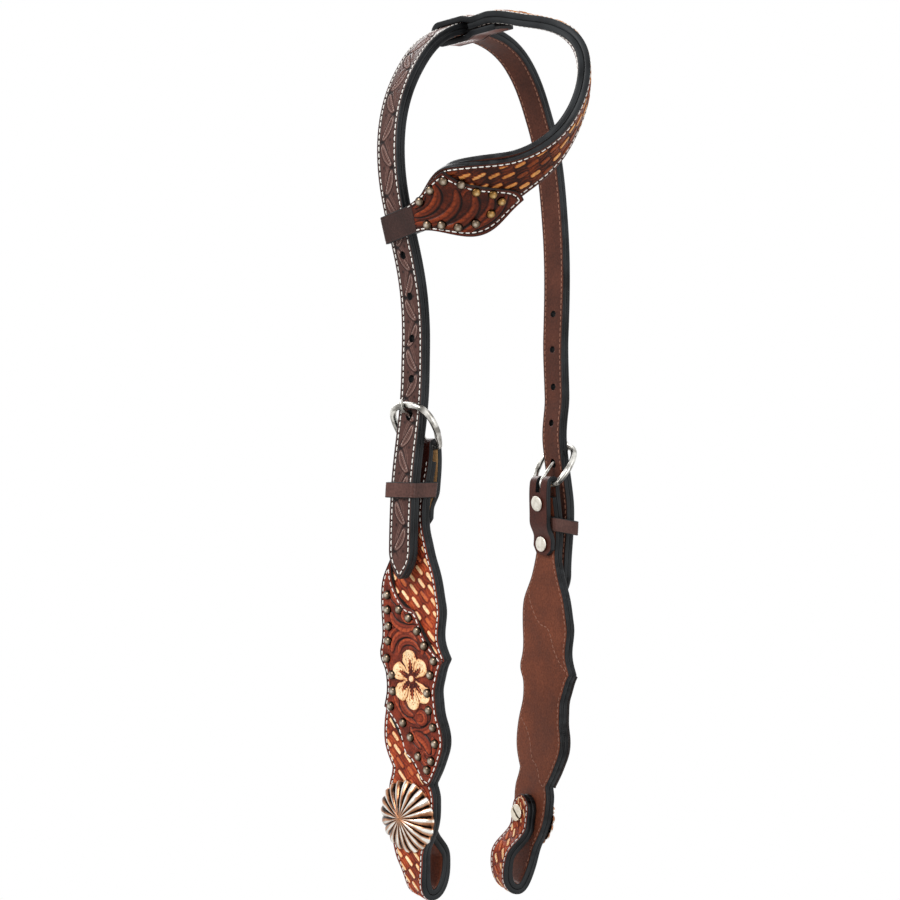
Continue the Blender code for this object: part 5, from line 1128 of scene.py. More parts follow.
def dressCrown():
    # both layers punched alike, with side seams and bowed seams across the ends
    last = crownLengths[-1]
    rows = evenly(last, 0.55 * mm, [(0, 0.004, 0.2 * mm), (last - 0.004, last, 0.2 * mm)])
    press = {"lay": (0, stock["press"]), "body": "headstall"}
    outer = slab("crownOuter", crownAt(stock["step"] / 2, 1), rows, crownWide(rows), stock["thick"], 46,
                 [strapFace, darkEdge, liningFace], crownRelief, stands=["crown_strap"], **press)
    rows = rows[::2]
    inner = slab("crownInner", crownAt(-stock["step"] / 2, -1), rows, crownWide(rows), stock["thick"], 24,
                 [liningFace, darkEdge, liningFace], plainEdge, stands=["crown_lining"], **press)
    cutter = roundCutter(crownHoles())
    for obj in (outer, inner):
        punch(obj, cutter)
    height, ends, share = stock["thick"] / 2 - seam["sunk"], seam["tail"], np.linspace(0, 1, 40)
    edge = seam["inset"] / crownWide(np.full(40, ends))
    bowed = ends - seam["bow"] * np.sin(share * math.pi)
    spots = np.arange(ends, last - ends, seam["sample"])
    inset = seam["inset"] / crownWide(spots)
    for name, flip, thread in (("Outer", 1, whiteThread), ("Inner", -1, tanThread)):
        pointAt = crownAt(flip * 0.5 * stock["step"], flip)
        seams = [seamLine(pointAt, spots, np.abs(side - inset), height) for side in (0, 1)]
        for tail in (bowed, last - bowed):
            seams.append(seamLine(pointAt, tail, edge + (1 - 2 * edge) * share, height))
        stitches(f"crown{name}Stitches", seams, thread, "headstall")
    print("crown dressed")


cheekPaths = {side: dressCheek(side) for side in (near, far)}
dressCrown()

# ear piece
ear = {
    "spine": ((-0.0650, -0.0420, -0.1035), (-0.0560, -0.0580, -0.0955), (-0.0455, -0.0705, -0.0845),
              (-0.0370, -0.0810, -0.0680), (-0.0318, -0.0860, -0.0495), (-0.0286, -0.0825, -0.0300),
              (-0.0258, -0.0680, -0.0150), (-0.0240, -0.0490, -0.0070)),
    "across": ((-0.50, -0.40, 0.76), (-0.56, -0.46, 0.70), (-0.68, -0.40, 0.60), (-0.80, -0.50, 0.32),
               (-0.84, -0.53, 0.02), (-0.80, -0.57, -0.13), (-0.96, -0.18, -0.12), (-0.98, -0.04, -0.19)),
    "outer": ((0, 0.33), (0.06, 0.36), (0.10, 0.55), (0.15, 0.80), (0.19, 0.80), (0.24, 0.59), (0.29, 0.45),
              (0.35, 0.41), (0.43, 0.41), (0.52, 0.39), (0.75, 0.39), (1, 0.39)),
    "inner": ((0, 0.33), (0.06, 0.42), (0.10, 0.70), (0.15, 1.0), (0.19, 1.04), (0.24, 0.92), (0.29, 0.70),
              (0.35, 0.53), (0.43, 0.42), (0.52, 0.39), (0.75, 0.39), (1, 0.39)),
    "studs": ((0.0640, 0.87), (0.0970, 0.89), (0.1342, 0.88), (0.1690, 0.76), (0.1910, 0.60), (0.2200, 0.46),
              (0.2290, 0.28), (0.1966, 0.22), (0.1590, 0.19), (0.1225, 0.16), (0.0920, 0.18), (0.0630, 0.18)),
    "ends": ((0, 0.274), (0.25, 0.268), (0.5, 0.231), (0.75, 0.175), (1, 0.14)),
    "wide": 0.044, "crossing": -0.0225, "drop": 0.112, "start": 0.0095, "straight": 0.0260,
    "liningEnd": 0.0130, "underEnd": 0.0300, "close": 0.0155, "open": 0.0085, "centre": 0.0070,
    "overlayStart": 0.022, "rubbed": 0.18, "weave": 42.0, "press": 0.36 * mm, "wrapHigh": 0.0145,
    "wrapSlant": 9.5, "wrapReach": 0.0095,
}
ear["step"] = stock["step"] + stock["gap"] * 1.5
ear["radius"] = stock["strap"] / 2 + stock["gap"] * 3 + stock["thick"] / 2
ear["rise"] = ear["step"] + stock["thick"] / 2 + 2 * stock["gap"] + stock["overlay"] / 2
nearCrown = crownPoints[:len(crownPoints) // 2]
crossSpot = int(np.argmin(np.abs(nearCrown[:, 0] - ear["crossing"])))
wrapSpot = int(np.argmin(np.abs(nearCrown[:, 2] + ear["drop"])))
crossing, crossAhead = crownPoints[crossSpot], tangentsAlong(crownPoints)[crossSpot]
crossRear = np.array([0.0, 1.0, 0.0])
crossUp = unit(np.cross(crossAhead, crossRear))
wrapAt, wrapAhead, wrapOut = crownPoints[wrapSpot], tangentsAlong(crownPoints)[wrapSpot], crownOut[wrapSpot]
wrapRear = crownAcross[wrapSpot] - math.tan(math.radians(ear["wrapSlant"])) * wrapAhead


def onCrown(aside, rear, high):
    # a point about the crossing: aside along the strap, to the rear and outwards from it
    where = crownLengths[crossSpot] + aside
    return (atLengths(crownPoints, crownLengths, where) + rear[..., None] * crossRear
            + high[..., None] * atLengths(crownOut, crownLengths, where))


def earSpine():
    # natural curves through the spots and the across directions, from the wrap to the crossing
    ends = [crossing - crossRear * ear["straight"], crossing - crossRear * ear["liningEnd"]]
    clamp = wrapAt - wrapOut * ear["step"] / 2
    starts = [clamp - wrapRear * reach for reach in (ear["start"], ear["start"] + ear["wrapReach"])]
    knots = np.array([*starts, *ear["spine"], *ends])
    turns = np.array([wrapAhead, wrapAhead, *ear["across"], -crossAhead, -crossAhead])
    spots = lengthsAlong(knots)
    wanted = np.linspace(0, spots[-1], 480)
    spine, across = naturalCurve(spots, knots, wanted), naturalCurve(spots, turns, wanted)
    along = tangentsAlong(spine)
    across = unit(across - np.sum(across * along, axis=1, keepdims=True) * along)
    return spine, across, np.cross(along, across)


earPath, earAcross, earOut = earSpine()
earLengths = lengthsAlong(earPath)
earLong = earLengths[-1]


def earHalves(share):
    # widths outside and inside of the piece's middle at a share of its length
    share = np.clip(share, 0, 1)
    return tuple(tableCurve(ear[edge], share) * ear["wide"] / 2 for edge in ("outer", "inner"))


def earStrip(points, directions, reach, row, aside):
    # a point of the path moved back across it by aside
    return atLengths(points, reach, row) - aside[..., None] * unit(atLengths(directions, reach, row))


def liningMiddleAt(row, share):
    # the swept strip eases into the flat stretch under the strap
    outer, inner = earHalves(row / earLong)
    aside, rear = outer - share * (outer + inner), row - earLong - ear["liningEnd"]
    straight = earStrip(earPath, earAcross, earLengths, row, aside)
    curved = onCrown(aside, np.maximum(rear, -ear["straight"]), np.zeros_like(aside))
    blend = smoothStep(-ear["straight"], -ear["close"], rear)[..., None]
    return blend * curved + (1 - blend) * straight


roundCrown = bezierPath([
    (-ear["straight"], ear["step"], 0), (-ear["close"], ear["step"], 0), (-ear["open"], ear["radius"], 0),
    (ear["centre"], ear["radius"], 0), (ear["centre"] + ear["radius"], 0, -90),
    (ear["centre"], -ear["radius"], -180), (-ear["open"], -ear["radius"], -180),
    (-ear["close"], -ear["step"], -180), (-ear["underEnd"], -ear["step"], -180),
])
earFree = earLengths < earLong - (ear["straight"] - ear["liningEnd"]) - 0.003 * mm
earRaised = earPath[earFree] + ear["step"] * earOut[earFree]
earLoop = crossing + roundCrown[:, :1] * crossRear + roundCrown[:, 1:] * crossUp
outerPath = np.concatenate([earRaised, earLoop])
outerAcross = np.concatenate([earAcross[earFree], np.broadcast_to(-crossAhead, earLoop.shape)])
outerReach = lengthsAlong(outerPath)
loopStart = outerReach[len(earRaised)]


def outerMiddleAt(row, share):
    # the swept strip eases into the loop round the strap
    outer, inner = earHalves(row / earLong)
    aside = outer - share * (outer + inner)
    straight = earStrip(outerPath, outerAcross, outerReach, row, aside)
    flat = atLengths(roundCrown, lengthsAlong(roundCrown), row - loopStart)
    curved = onCrown(aside, flat[..., 0], flat[..., 1])
    over = smoothStep(-ear["straight"], -ear["close"], flat[..., 0])
    blend = np.where(row > loopStart + ear["straight"], 1.0, np.where(row < loopStart, 0.0, over))[..., None]
    return blend * curved + (1 - blend) * straight


def overlayAlong(row, share):
    # share of the ear's length and the widths on both sides of its middle, at a share of the overlay
    along = ear["overlayStart"] + row * (tableCurve(ear["ends"], share) - ear["overlayStart"])
    return (along, *earHalves(along))


def earSpot(along):
    # the ear piece's middle, its outward and its across directions at a share of its length
    return (atLengths(part, earLengths, along * earLong) for part in (earPath, earOut, earAcross))


def earOverlayAt(row, share):
    # the lining's path raised outwards and moved across
    along, outer, inner = overlayAlong(row, share)
    middle, out, across = earSpot(along)
    return middle + ear["rise"] * out + (share * (outer + inner) - outer)[..., None] * across


def thickened(middleAt, flip=1, small=(0.25 * mm, 0.01)):
    # raises a middle surface along its own normal, found from small steps along and across
    def pointAt(row, share, height):
        along = middleAt(row + small[0], share) - middleAt(row - small[0], share)
        aside = middleAt(row, share + small[1]) - middleAt(row, share - small[1])
        return middleAt(row, share) + (flip * height)[..., None] * unit(np.cross(along, aside))

    return pointAt


def earRelief(row, share, width):
    # basket stamping turned across the band, between the edge rows
    b, turn = (share - 0.5) * width, math.radians(ear["weave"])
    cosine, sine = math.cos(turn), math.sin(turn)
    rise, tone = basketWork(-b * cosine - row * sine, row * cosine - b * sine)
    tone = tone - 0.10 * smoothStep(0.105, 0.055, row)
    edgeRise, edgeTone = edgeRow(share, width)
    inner = smoothStep(2.7 * mm, 3.4 * mm, fromEdge(share, width))
    inner = inner * smoothStep(earLong + 0.012, earLong - 0.004, row)
    return rise * inner + edgeRise, 0.46 + (tone - 0.46) * inner + edgeTone


def earOverlayRelief(row, share, width):
    # scrolls on matted ground inside a groove, which is left out under the wrap; groove and edge are painted
    # darker as shade
    along, outer, inner = overlayAlong(row, share)
    b, s = share * (outer + inner) - outer, along * earLong
    reach = tableCurve(ear["ends"], share) - ear["overlayStart"]
    rise, tone = mattedGround(b, s, 0.8 * mm, 0.16)
    rise, tone = carve(b, s, earScrolls(), rise, tone)
    off = np.minimum(fromEdge(share, outer + inner), (1 - row) * reach * earLong * 0.8)
    inner = smoothStep(2.4 * mm, 3.2 * mm, off)
    groove, fall = bell(off - 1.9 * mm, 0.5 * mm), np.clip(1 - off / (0.8 * mm), 0, 1)
    return (rise * inner - 0.2 * mm * groove - 0.2 * mm * fall**2,
            0.40 + (tone - 0.40) * inner - 0.36 * groove - 0.4 * fall)


def earScrolls():
    # leaf scrolls of the ear's overlay, fanning out from the wrap, in millimetres across and along
    lines = [
        (((-3.0, 8.0), (-4.6, 16.0), (-2.0, 25.0), (4.0, 31.0), (10.0, 33.0)), 2.2, 1),
        (((1.0, 9.0), (1.4, 15.0), (5.0, 21.0), (11.0, 24.0), (15.0, 23.4)), 2.0, 1),
        (((-8.0, 12.0), (-9.4, 21.0), (-7.0, 31.0), (-1.0, 38.0), (6.0, 40.0)), 2.2, 1),
        (((-13.0, 20.0), (-13.0, 29.0), (-9.6, 38.0), (-4.0, 44.6), (2.0, 47.0)), 2.0, 1),
        (((-13.0, 34.0), (-11.0, 42.0), (-7.0, 49.0), (-2.6, 53.0)), 1.7, 1),
        (((5.0, 10.0), (7.0, 14.0), (11.0, 17.0)), 1.4, 1),
        (((6.4, 34.6), (9.4, 37.0), (9.0, 41.0), (5.6, 43.0)), 1.2, -1),
        (((-6.0, 9.0), (-9.0, 11.0), (-12.0, 15.6)), 1.3, -1),
        (((4.4, 44.6), (5.4, 48.4), (2.4, 51.0)), 1.0, -1),
    ]
    return [(bend(line), width * mm, side) for line, width, side in lines]


def dressEar():
    # both layers and the overlay, then the seams of each face
    outerAt, liningAt = thickened(outerMiddleAt), thickened(liningMiddleAt, -1)
    overlayAt, press = thickened(earOverlayAt, 1, (0.004, 0.01)), (0, ear["press"])

    def wide(spots):
        return sum(earHalves(spots / earLong))

    rows = evenly(outerReach[-1], 0.55 * mm, [(loopStart, outerReach[-1], 0.35 * mm)])
    slab("earOuter", outerAt, rows, wide(rows), stock["thick"], 56, [earBandFace, darkEdge, liningFace],
         earRelief, under=12, lay=press, body="ear_loop", stands=["ear_piece"])
    rows = evenly(earLong, 0.8 * mm)
    slab("earInner", liningAt, rows, wide(rows), stock["thick"], 40, [liningFace, darkEdge, liningFace],
         plainEdge, under=12, lay=press, body="ear_loop", stands=["ear_lining"])
    rows = np.linspace(0, 1, 120)
    slab("earOverlay", overlayAt, rows, np.full(len(rows), ear["wide"] * 0.6), stock["overlay"], 90,
         [earFace, skivedEdge, liningFace], earOverlayRelief, under=12, lay=(0, 0.2 * mm), body="ear_loop",
         stands=["ear_overlay"])
    seams, back, start, height = [], [], 0.004, stock["thick"] / 2 - seam["sunk"]
    for edge in (0, 1):
        for kept, pointAt, stop in ((seams, outerAt, loopStart + 0.020), (back, liningAt, earLong - start)):
            spots = np.arange(start, stop, seam["sample"])
            kept.append(seamLine(pointAt, spots, np.abs(edge - seam["ear"] / wide(spots)), height))
    height, along = stock["overlay"] / 2 - seam["sunkBack"], np.linspace(0.03, 0.97, 120)
    share = np.linspace(0.05, 0.95, 90)
    seams += [seamLine(overlayAt, along, np.abs(edge - 0.065), height) for edge in (0, 1)]
    reach = (tableCurve(ear["ends"], share) - ear["overlayStart"]) * earLong
    seams.append(seamLine(overlayAt, 1 - seam["earEnd"] / reach, share, height))
    stitches("earStitches", seams, whiteThread, "ear_loop")
    stitches("earLiningStitches", back, whiteThread, "ear_loop")


def dressWrap():
    # a U of plain leather round the crown's rear edge, open towards the ear piece
    gap = stock["strap"] / 2 + stock["slide"] + stock["wrap"] / 2
    rear = crown["width"] / 2 + stock["slide"] + stock["wrap"] / 2
    front, corner = -(crown["width"] / 2 + ear["wrapReach"]), stock["wrap"]
    flat = bezierPath([(front, gap, 0), (rear - corner, gap, 0), (rear, gap - corner, -90),
                       (rear, corner - gap, -90), (rear - corner, -gap, -180), (front, -gap, -180)])
    reach = lengthsAlong(flat)

    def wrapMiddle(row, share):
        spot = atLengths(flat, reach, row)
        return (wrapAt + spot[..., :1] * wrapRear + spot[..., 1:] * wrapOut
                + ((0.5 - share) * ear["wrapHigh"])[..., None] * wrapAhead)

    rows = evenly(reach[-1], 0.4 * mm)
    crease = creased(1.5 * mm, 0.28 * mm, 0.12 * mm, 0.25 * mm, 0.8 * mm)
    slab("earWrap", thickened(wrapMiddle), rows, np.full(len(rows), ear["wrapHigh"]), stock["wrap"], 50,
         [wrapFace, darkEdge, wrapFace], crease, body="ear_loop", stands=["ear_slide_wrap"])


dressEar()
dressWrap()
print("ear piece dressed")

# keepers
keeper = {"high": 0.0082, "place": 0.0225, "tilt": 10.5, "inner": 0.0004}


def dressKeeper(side):
    # a band on a rounded rectangle round the strap, leaning from the cheek's tilt to the strap's
    name, place, sag = sideNames[side], places[side], math.tan(math.radians(hang[side]["sag"]))
    strapIn, _, strapLean = crown["ends"][1]
    inner = keeper["inner"] + stock["keeper"] / 2
    outer = strapIn + stock["strap"] / 2 + stock["slide"] + stock["keeper"] / 2
    wide, tall = cheek["neck"] + 2 * stock["slide"] + stock["keeper"], outer - inner
    corner, outline = stock["keeper"] * 0.9, []
    for quarter, (x, y) in enumerate(((1, 1), (-1, 1), (-1, -1), (1, -1))):
        turn = np.radians(90 * (quarter + np.linspace(0, 1, 9)))
        outline.append(np.stack([x * (wide / 2 - corner) + corner * np.cos(turn),
                                 y * (tall / 2 - corner) + corner * np.sin(turn)], axis=1))
    outline = np.roll(np.concatenate(outline), 12, axis=0)
    outline = np.concatenate([outline, outline[:1]])
    reach = lengthsAlong(outline)

    def middleAt(row, share):
        spot = atLengths(outline, reach, np.mod(row, reach[-1]))
        rise, part = (share - 0.5) * keeper["high"], spot[..., 1] + tall / 2
        slope = np.tan(np.radians(keeper["tilt"] * (1 - part / tall) + strapLean * part / tall))
        return place(inner + part + rise * slope, spot[..., 0], keeper["place"] + rise - part * sag)

    rows = evenly(reach[-1], 0.3 * mm)
    crease = creased(1.1 * mm, 0.22 * mm, 0.10 * mm, 0.2 * mm, 0.6 * mm)
    slab(f"{name}Keeper", thickened(middleAt, side), rows, np.full(len(rows), keeper["high"]),
         stock["keeper"], 30, [keeperFace, darkEdge, keeperFace], crease, body=f"{name}_keeper_loop",
         stands=[f"{name}_keeper"])


for side in (near, far):
    dressKeeper(side)
print("keepers dressed")

# metal


def barRings(points, radii, sides, closed=False):
    # rings of a round bar along flat points, as (in plane x, in plane y, out of plane)
    ahead = tangentsAlong(points)
    if closed:
        ahead = tangentsAlong(np.concatenate([points[-1:], points, points[:1]]))[1:-1]
    left = np.stack([-ahead[:, 1], ahead[:, 0]], axis=1)
    turn = roundTurns(sides)
    flat = points[:, None] + (radii[:, None] * np.cos(turn))[..., None] * left[:, None]
    return np.concatenate([flat, (radii[:, None] * np.sin(turn))[..., None]], axis=-1)


def dressBuckle(side):
    # a super-ellipse arch on a heel with small fillets, smoothed by a rolling mean and thicker to the arch
    name, place, fillet = sideNames[side], places[side], buckle["fillet"]
    heel = (buckle["heel"] - buckle["bar"]) / 2
    radius = (buckle["wide"] - buckle["arch"]) / 2
    centre = buckle["high"] - buckle["bar"] / 2 - buckle["arch"] / 2 - radius
    turn = np.radians(np.linspace(-8, 188, 140))
    waves = np.cos(turn), np.sin(turn)
    x, y = (radius * np.sign(wave) * np.abs(wave) ** (2 / buckle["full"]) for wave in waves)
    foot = np.array([[heel - fillet, 0], [heel - fillet / 3, fillet / 4], [heel, fillet]])
    loop = np.concatenate([foot, np.stack([x, centre + y], axis=1), foot[::-1] * (-1, 1), foot[:1]])
    spots = lengthsAlong(loop)
    points = atLengths(loop, spots, np.linspace(0, spots[-1], 321)[:-1])
    for _ in range(6):
        points = (np.roll(points, 1, axis=0) + points * 2 + np.roll(points, -1, axis=0)) / 4
    lift = smoothStep(0.001, 0.006, points[:, 1])
    rings = barRings(points, buckle["bar"] / 2 + lift * (buckle["arch"] - buckle["bar"]) / 2, 28, closed=True)
    lean = math.radians(buckle["tilt"])
    n = rings[..., 1] * math.sin(lean) + rings[..., 2] * math.cos(lean)
    s = rings[..., 2] * math.sin(lean) - rings[..., 1] * math.cos(lean)
    tube(f"{name}BuckleFrame", place(n, rings[..., 0] + hang[side]["shift"], s), nickel, closed=True,
         body=f"{name}_buckle", stands=[f"{name}_buckle_frame"])


def dressTongue(side):
    # an eye round the bar, then a pin along its knots to a rounded tip
    name, thick = sideNames[side], buckle["tongue"]
    eye = buckle["bar"] / 2 + stock["gap"] + thick / 2
    turn = np.radians(np.linspace(-50, 213.5, 12))
    knots = np.concatenate([eye * np.stack([np.cos(turn), np.sin(turn)], axis=1),
                            np.array(buckle["pin"]) * buckle["high"]])
    spots = lengthsAlong(knots)
    wanted = np.linspace(0, spots[-1], 160)
    tip = np.clip((spots[-1] - wanted) / (thick * 0.9), 0, 1)
    radii = thick / 2 * np.maximum(np.sqrt(1 - (1 - tip) ** 2), 0.12)
    rings = barRings(naturalCurve(spots, knots, wanted), radii, 20)
    tube(f"{name}BuckleTongue", places[side](rings[..., 0], rings[..., 2], rings[..., 1]), nickel,
         body=f"{name}_tongue", stands=[f"{name}_buckle_tongue"])


def polar(where, radius, turn, height):
    # points at a radius and an angle round a frame's last direction, raised along it
    origin, right, up, out = where
    return (origin + (radius * np.cos(turn))[..., None] * right + (radius * np.sin(turn))[..., None] * up
            + height[..., None] * out)


def turned(where, profile, sides=64):
    # rings of a profile of (radius, height) rows
    radius, height = np.array(profile).T[..., None]
    return polar(where, radius, roundTurns(sides), height)


rivetShape = {"cap": 0.0045, "high": 0.0010, "post": 0.0015, "off": 0.0009}


def dressRivet(side, label, path, down):
    # a post through both layers of the fold between two caps that are domed as quarter ellipses
    name, cap, post, off = sideNames[side], rivetShape["cap"], rivetShape["post"], rivetShape["off"]
    fold, lowest, ahead = int(np.argmin(path[:, 1])), int(np.argmax(path[:, 1])), tangentsAlong(path)
    outer = lowest + int(np.argmin(np.abs(path[lowest:fold, 1] - down)))
    tab = fold + int(np.argmin(np.abs(path[fold:, 1] - down)))
    axis = unit(np.array([ahead[tab, 1] - ahead[outer, 1], ahead[outer, 0] - ahead[tab, 0]]))
    reach = path[outer] - path[tab]
    low = -(stock["thick"] / 2 + off)
    high = (reach[0] + axis[1] * reach[1]) / axis[0] - low
    turn = np.linspace(0, math.pi / 2, 9)
    domed = rivetShape["high"]
    dome = [(max(cap * math.sin(a), 0.02 * mm), domed * (0.35 + 0.65 * math.cos(a))) for a in turn]
    profile = ([(r, high + h) for r, h in dome] + [(cap, high), (post, high), (post, low), (cap, low)]
               + [(r, low - h) for r, h in dome[::-1]])
    where = frameIn(places[side], path[tab, 0], 0, path[tab, 1], axis)
    tube(f"{name}{label.title()}Rivet", turned(where, profile), rivetMetal, body="headstall",
         stands=[f"{name}_{label}_rivet"])


conchoShape = {
    "radius": 0.01905, "high": 0.0068, "flutes": 20, "place": 0.195, "setback": 0.0020, "socket": 0.0026,
    "groove": 0.0011,
    "section": ((0.0, 1.0), (0.12, 0.985), (0.30, 0.93), (0.50, 0.82), (0.72, 0.62), (0.90, 0.36),
                (1.0, 0.13)),
    "paintedGoreLight": ((0, 0.06), (0.10, 0.14), (0.20, 0.40), (0.38, 0.54), (0.48, 0.60), (0.58, 0.90), (0.74, 0.84),
               (0.86, 0.42), (0.95, 0.12), (1, 0.06)),
}
screw = {"radius": 0.0015, "head": 0.0048, "high": 0.0017, "slot": 0.00065, "deep": 0.0009, "turn": 35.0}
# from the concho's seat to the bit tab's face
conchoReach = cheek["face"] + stock["gap"] - (bitTabMiddle - stock["thick"] / 2)


def conchoPlace(side):
    return frameIn(places[side], cheek["face"] + stock["gap"], conchoShape["setback"], conchoShape["place"])


def dressConcho(side):
    # an umbrella of convex gores: height = section(radius) + ridge(angle), ridges painted bright as highlight
    # and grooves black as painted shade over the silver's own oxide
    name, where, turn = sideNames[side], conchoPlace(side), roundTurns(480)
    share = np.concatenate([np.linspace(0.012, 1, 44), [1.0]])[:, None]
    section = tableCurve(conchoShape["section"], share)
    hollow = 1 - np.abs(np.cos(turn * conchoShape["flutes"] / 2)) ** 0.75
    deep = conchoShape["groove"] * hollow * np.clip(share * 2.4, 0, 1) * (0.45 + 0.55 * share)
    height = conchoShape["high"] * section - deep
    height[-1] = 0.0
    radius = conchoShape["radius"] * share * (1 - 0.05 * hollow * smoothStep(0.5, 1.0, share))
    flute = turn * conchoShape["flutes"] / math.tau + 0.5
    phase, flute = np.mod(flute, 1), np.floor(flute)
    variation = 0.16 * (hashed(flute) - 0.5) + 0.10 * np.sin(share * 9 + flute * 2.1)
    # tone across each gore: a painted highlight on one flank of the ridge, a copper-toned flank on the other,
    # black painted shade in the groove
    tone = np.interp(phase, *np.array(conchoShape["paintedGoreLight"]).T) * np.ones_like(share)
    tone = tone + variation * (tone > 0.3)
    tone = np.where(share < 0.3, tone * share / 0.3 + 0.5 * (1 - share / 0.3), tone)
    tone = np.where(share > 0.965, np.maximum(tone, 0.40), tone)
    tube(f"{name}Concho", polar(where, radius, turn, height), conchoMetal, tone=tone, body="headstall",
         stands=[f"{name}_concho"])
    end, bore = 0.25 * stock["thick"] - conchoReach, screw["radius"] + stock["gap"]
    profile = [(conchoShape["socket"], 0.0), (conchoShape["socket"], end), (bore, end), (bore, 0.0)]
    tube(f"{name}ConchoSocket", turned(where, profile, 40), nickel, body="headstall")


def dressScrew(side, sides=160):
    # the slotted head lies against the bit tab; a polar grid dips along the slot
    name, where, turn = sideNames[side], conchoPlace(side), roundTurns(sides)
    share = np.concatenate([np.linspace(0.01, 0.82, 26), np.linspace(0.86, 1, 8), [1.0]])[:, None]
    aside = screw["head"] * share * np.sin(turn - math.radians(screw["turn"]))
    slotted = smoothStep(screw["slot"] * 1.25, screw["slot"] * 0.85, np.abs(aside))
    under = -(conchoReach + stock["gap"])
    height = under - screw["high"] * (1 - 0.25 * share**4) + screw["deep"] * slotted
    height[-1] = under
    shank = turned(where, [(screw["radius"], under), (screw["radius"], conchoShape["high"] * 0.2)], sides)
    rings = np.concatenate([polar(where, screw["head"] * share, turn, height), shank])
    # the slot is painted dark as shade
    tone = np.concatenate([0.75 - 0.6 * slotted, np.full((2, sides), 0.5)])
    tube(f"{name}BitScrew", rings, screwMetal, tone=tone,
         body=f"{name}_bit_closure", stands=[f"{name}_bit_screw"])


stud = {"radius": 0.0025, "high": 0.0019, "inset": 0.0050}
studSpots = {
    "rear": (0.329, 0.362, 0.398, 0.431, 0.470, 0.505, 0.541, 0.575),
    "front": (0.4934, 0.5334, 0.5701, 0.6057, 0.6404, 0.6791),
    "line": ((0.313, 0.3589), (0.0, 0.375), (-0.271, 0.4015), (-0.500, 0.4319), (-0.800, 0.462),
             (0.176, 0.607), (-0.071, 0.6356), (-0.319, 0.6742), (-0.590, 0.700)),
}


def studDomes(name, frames, body, surface, sides=24):
    # low domes: height falls as a half ellipse; painted highlight on top and painted shade at the foot
    turn, least = np.linspace(0, math.pi / 2, 9), 0.02 * mm
    wide, high = stud["radius"], stud["high"]
    profile = [(max(wide * math.sin(a), least), high * math.cos(a) ** 0.85 + least) for a in turn]
    domes = joined([skin(turned(where, [*profile, (wide, -0.5 * mm)], sides)) for where in frames])
    fall = np.append(np.cos(turn), 0.0)
    # tone bright on top and dark at the foot: painted highlight and painted shade
    tone = np.tile(np.repeat(0.10 + 0.62 * fall**1.6, sides), len(frames))
    putMesh(name, *domes, [surface], tone=tone, body=body)


def dressStuds(side):
    # rows along both edges and two lines across, as (b, share of the length)
    long, inset = cheek["length"], stud["inset"]
    spots = [(float(halfWidth(rearLine, share * long)) - inset, share) for share in studSpots["rear"]]
    spots += [(inset - float(halfWidth(frontLine, share * long)), share) for share in studSpots["front"]]
    spots += [(rear * cheek["width"] / 2, share) for rear, share in studSpots["line"]]
    face = cheek["face"] + stock["gap"] + stock["overlay"]
    frames = [frameIn(places[side], face, b, share * long) for b, share in spots]
    studDomes(f"{sideNames[side]}Studs", frames, "headstall", studMetal)


def dressEarStuds():
    # a ring of studs round the overlay; those near its tip are rubbed to the brass
    silver, gold, face = [], [], ear["rise"] + stock["overlay"] / 2
    for along, across in ear["studs"]:
        outer, inner = earHalves(np.array(along))
        middle, out, aside = earSpot(along)
        out, aside = unit(out), unit(aside)
        spot = middle + face * out + (across * (outer + inner) - outer) * aside
        (gold if along > ear["rubbed"] else silver).append((spot, aside, np.cross(out, aside), out))
    studDomes("earStuds", silver, "ear_loop", studMetal)
    studDomes("earGoldStuds", gold, "ear_loop", goldMetal)


dressEarStuds()
for side in (near, far):
    dressBuckle(side)
    dressTongue(side)
    dressRivet(side, "upper", cheekPaths[side], cheek["rivetUp"])
    dressRivet(side, "lower", cheekPaths[side], cheek["rivetLow"])
    dressConcho(side)
    dressScrew(side)
    dressStuds(side)
print("metal made")

# camera, light and floor
view = {"turn": -49.0, "back": 0.744, "aside": 0.0208, "high": -0.230, "lens": 52.92}


def makeCamera():
    # a level camera turned about the object; its right and ahead directions place the lamps
    turn = math.radians(view["turn"])
    right = np.array([math.cos(turn), math.sin(turn), 0.0])
    ahead = np.array([-math.sin(turn), math.cos(turn), 0.0])
    camera = bpy.data.objects.new("camera", bpy.data.cameras.new("camera"))
    bpy.context.scene.collection.objects.link(camera)
    camera.data.lens = view["lens"]
    camera.data.sensor_width = 36
    camera.data.clip_start = 0.01
    camera.location = -view["back"] * ahead - view["aside"] * right + np.array([0, 0, view["high"]])
    camera.rotation_euler = (math.pi / 2, 0, turn)
    bpy.context.scene.camera = camera
    return right, ahead


right, ahead = makeCamera()
middle = np.array([0.0, -0.02, -0.23])  # where the lamps point


def areaLight(name, aside, back, high, size, power):
    # a rectangle that faces the middle, placed by the camera's own right and ahead directions
    lamp = bpy.data.lights.new(name, "AREA")
    lamp.shape = "RECTANGLE"
    lamp.size, lamp.size_y = size
    lamp.energy = power
    obj = bpy.data.objects.new(name, lamp)
    bpy.context.scene.collection.objects.link(obj)
    obj.location = middle + ahead * back + right * aside + np.array([0, 0, high])
    x, y, z = middle - np.array(obj.location)
    obj.rotation_euler = (math.pi / 2 - math.atan2(-z, math.hypot(x, y)), 0, math.atan2(-x, y))


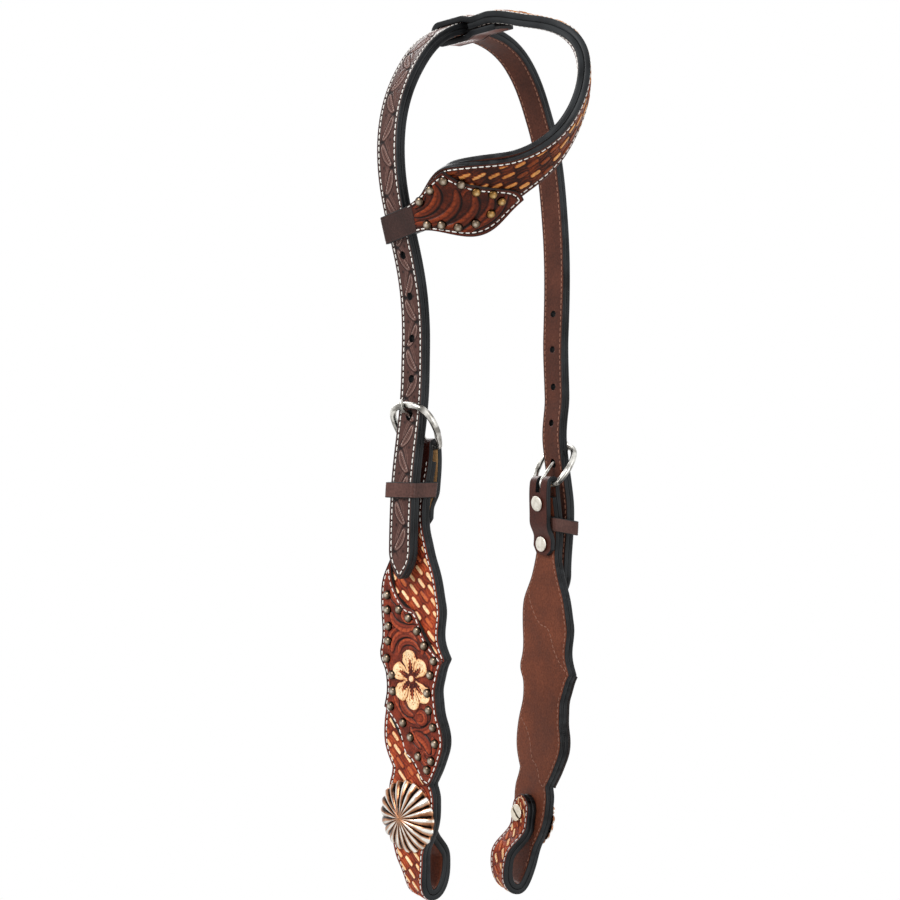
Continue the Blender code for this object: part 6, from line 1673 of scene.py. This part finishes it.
areaLight("keyLight", -0.9, -0.9, 0.75, (0.7, 0.7), 17)
areaLight("fillLight", 0.9, -1.1, 0.1, (0.9, 1.2), 7)
areaLight("backLight", -0.3, 0.9, 0.6, (0.9, 0.9), 10)


def makeWorld():
    # plain white to the camera, in mirrors and through glass; a softer white lights the object
    world = bpy.data.worlds.new("studio")
    bpy.context.scene.world = world
    world.use_nodes = True
    tree, add = world.node_tree, adderFor(world.node_tree)
    plain = tree.nodes["Background"]
    fill(tree, plain, {"Color": (1, 1, 1, 1)})
    soft = add("Background", {"Color": (1, 1, 1, 1), "Strength": 0.42})
    rays = add("LightPath").outputs
    seen = rays["Is Camera Ray"]
    for kind in ("Is Transmission Ray", "Is Glossy Ray"):
        seen = maths(add, "MAXIMUM", seen, rays[kind])
    pick = add("MixShader", {0: seen, 1: soft.outputs[0], 2: plain.outputs[0]})
    fill(tree, tree.nodes["World Output"], {"Surface": pick.outputs[0]})


floor = {"radius": 1.5, "drop": -1.05, "plain": 0.72, "sides": 96}


def makeFloor():
    # a pale disc well below, plain white where nothing shades it
    made, add, dress = newMaterial("paleFloor")
    tree, turn = made.node_tree, roundTurns(floor["sides"])
    haze = noise(add, add("TexCoord").outputs["Object"], 3.0, 2.0)
    dress({"Base Color": tinted(add, haze, [(0.3, 236, 235, 233), (0.7, 244, 243, 242)]), "Roughness": 0.9})
    plain = add("Emission", {"Color": (1, 1, 1, 1), "Strength": 1.0})
    share = maths(add, "MULTIPLY", add("LightPath").outputs["Is Camera Ray"], floor["plain"])
    seen = add("MixShader", {0: share, 1: tree.nodes["Principled BSDF"].outputs[0], 2: plain.outputs[0]})
    fill(tree, tree.nodes["Material Output"], {"Surface": seen.outputs[0]})
    sides, wide = len(turn), floor["radius"]
    rim = np.stack([wide * np.cos(turn), wide * np.sin(turn), np.full(sides, floor["drop"])], axis=1)
    putMesh("floor", rim, np.arange(sides), np.array([sides]), [made], smooth=False)


makeWorld()
makeFloor()
bpy.context.scene.view_settings.view_transform = "Standard"
print("camera and light set")
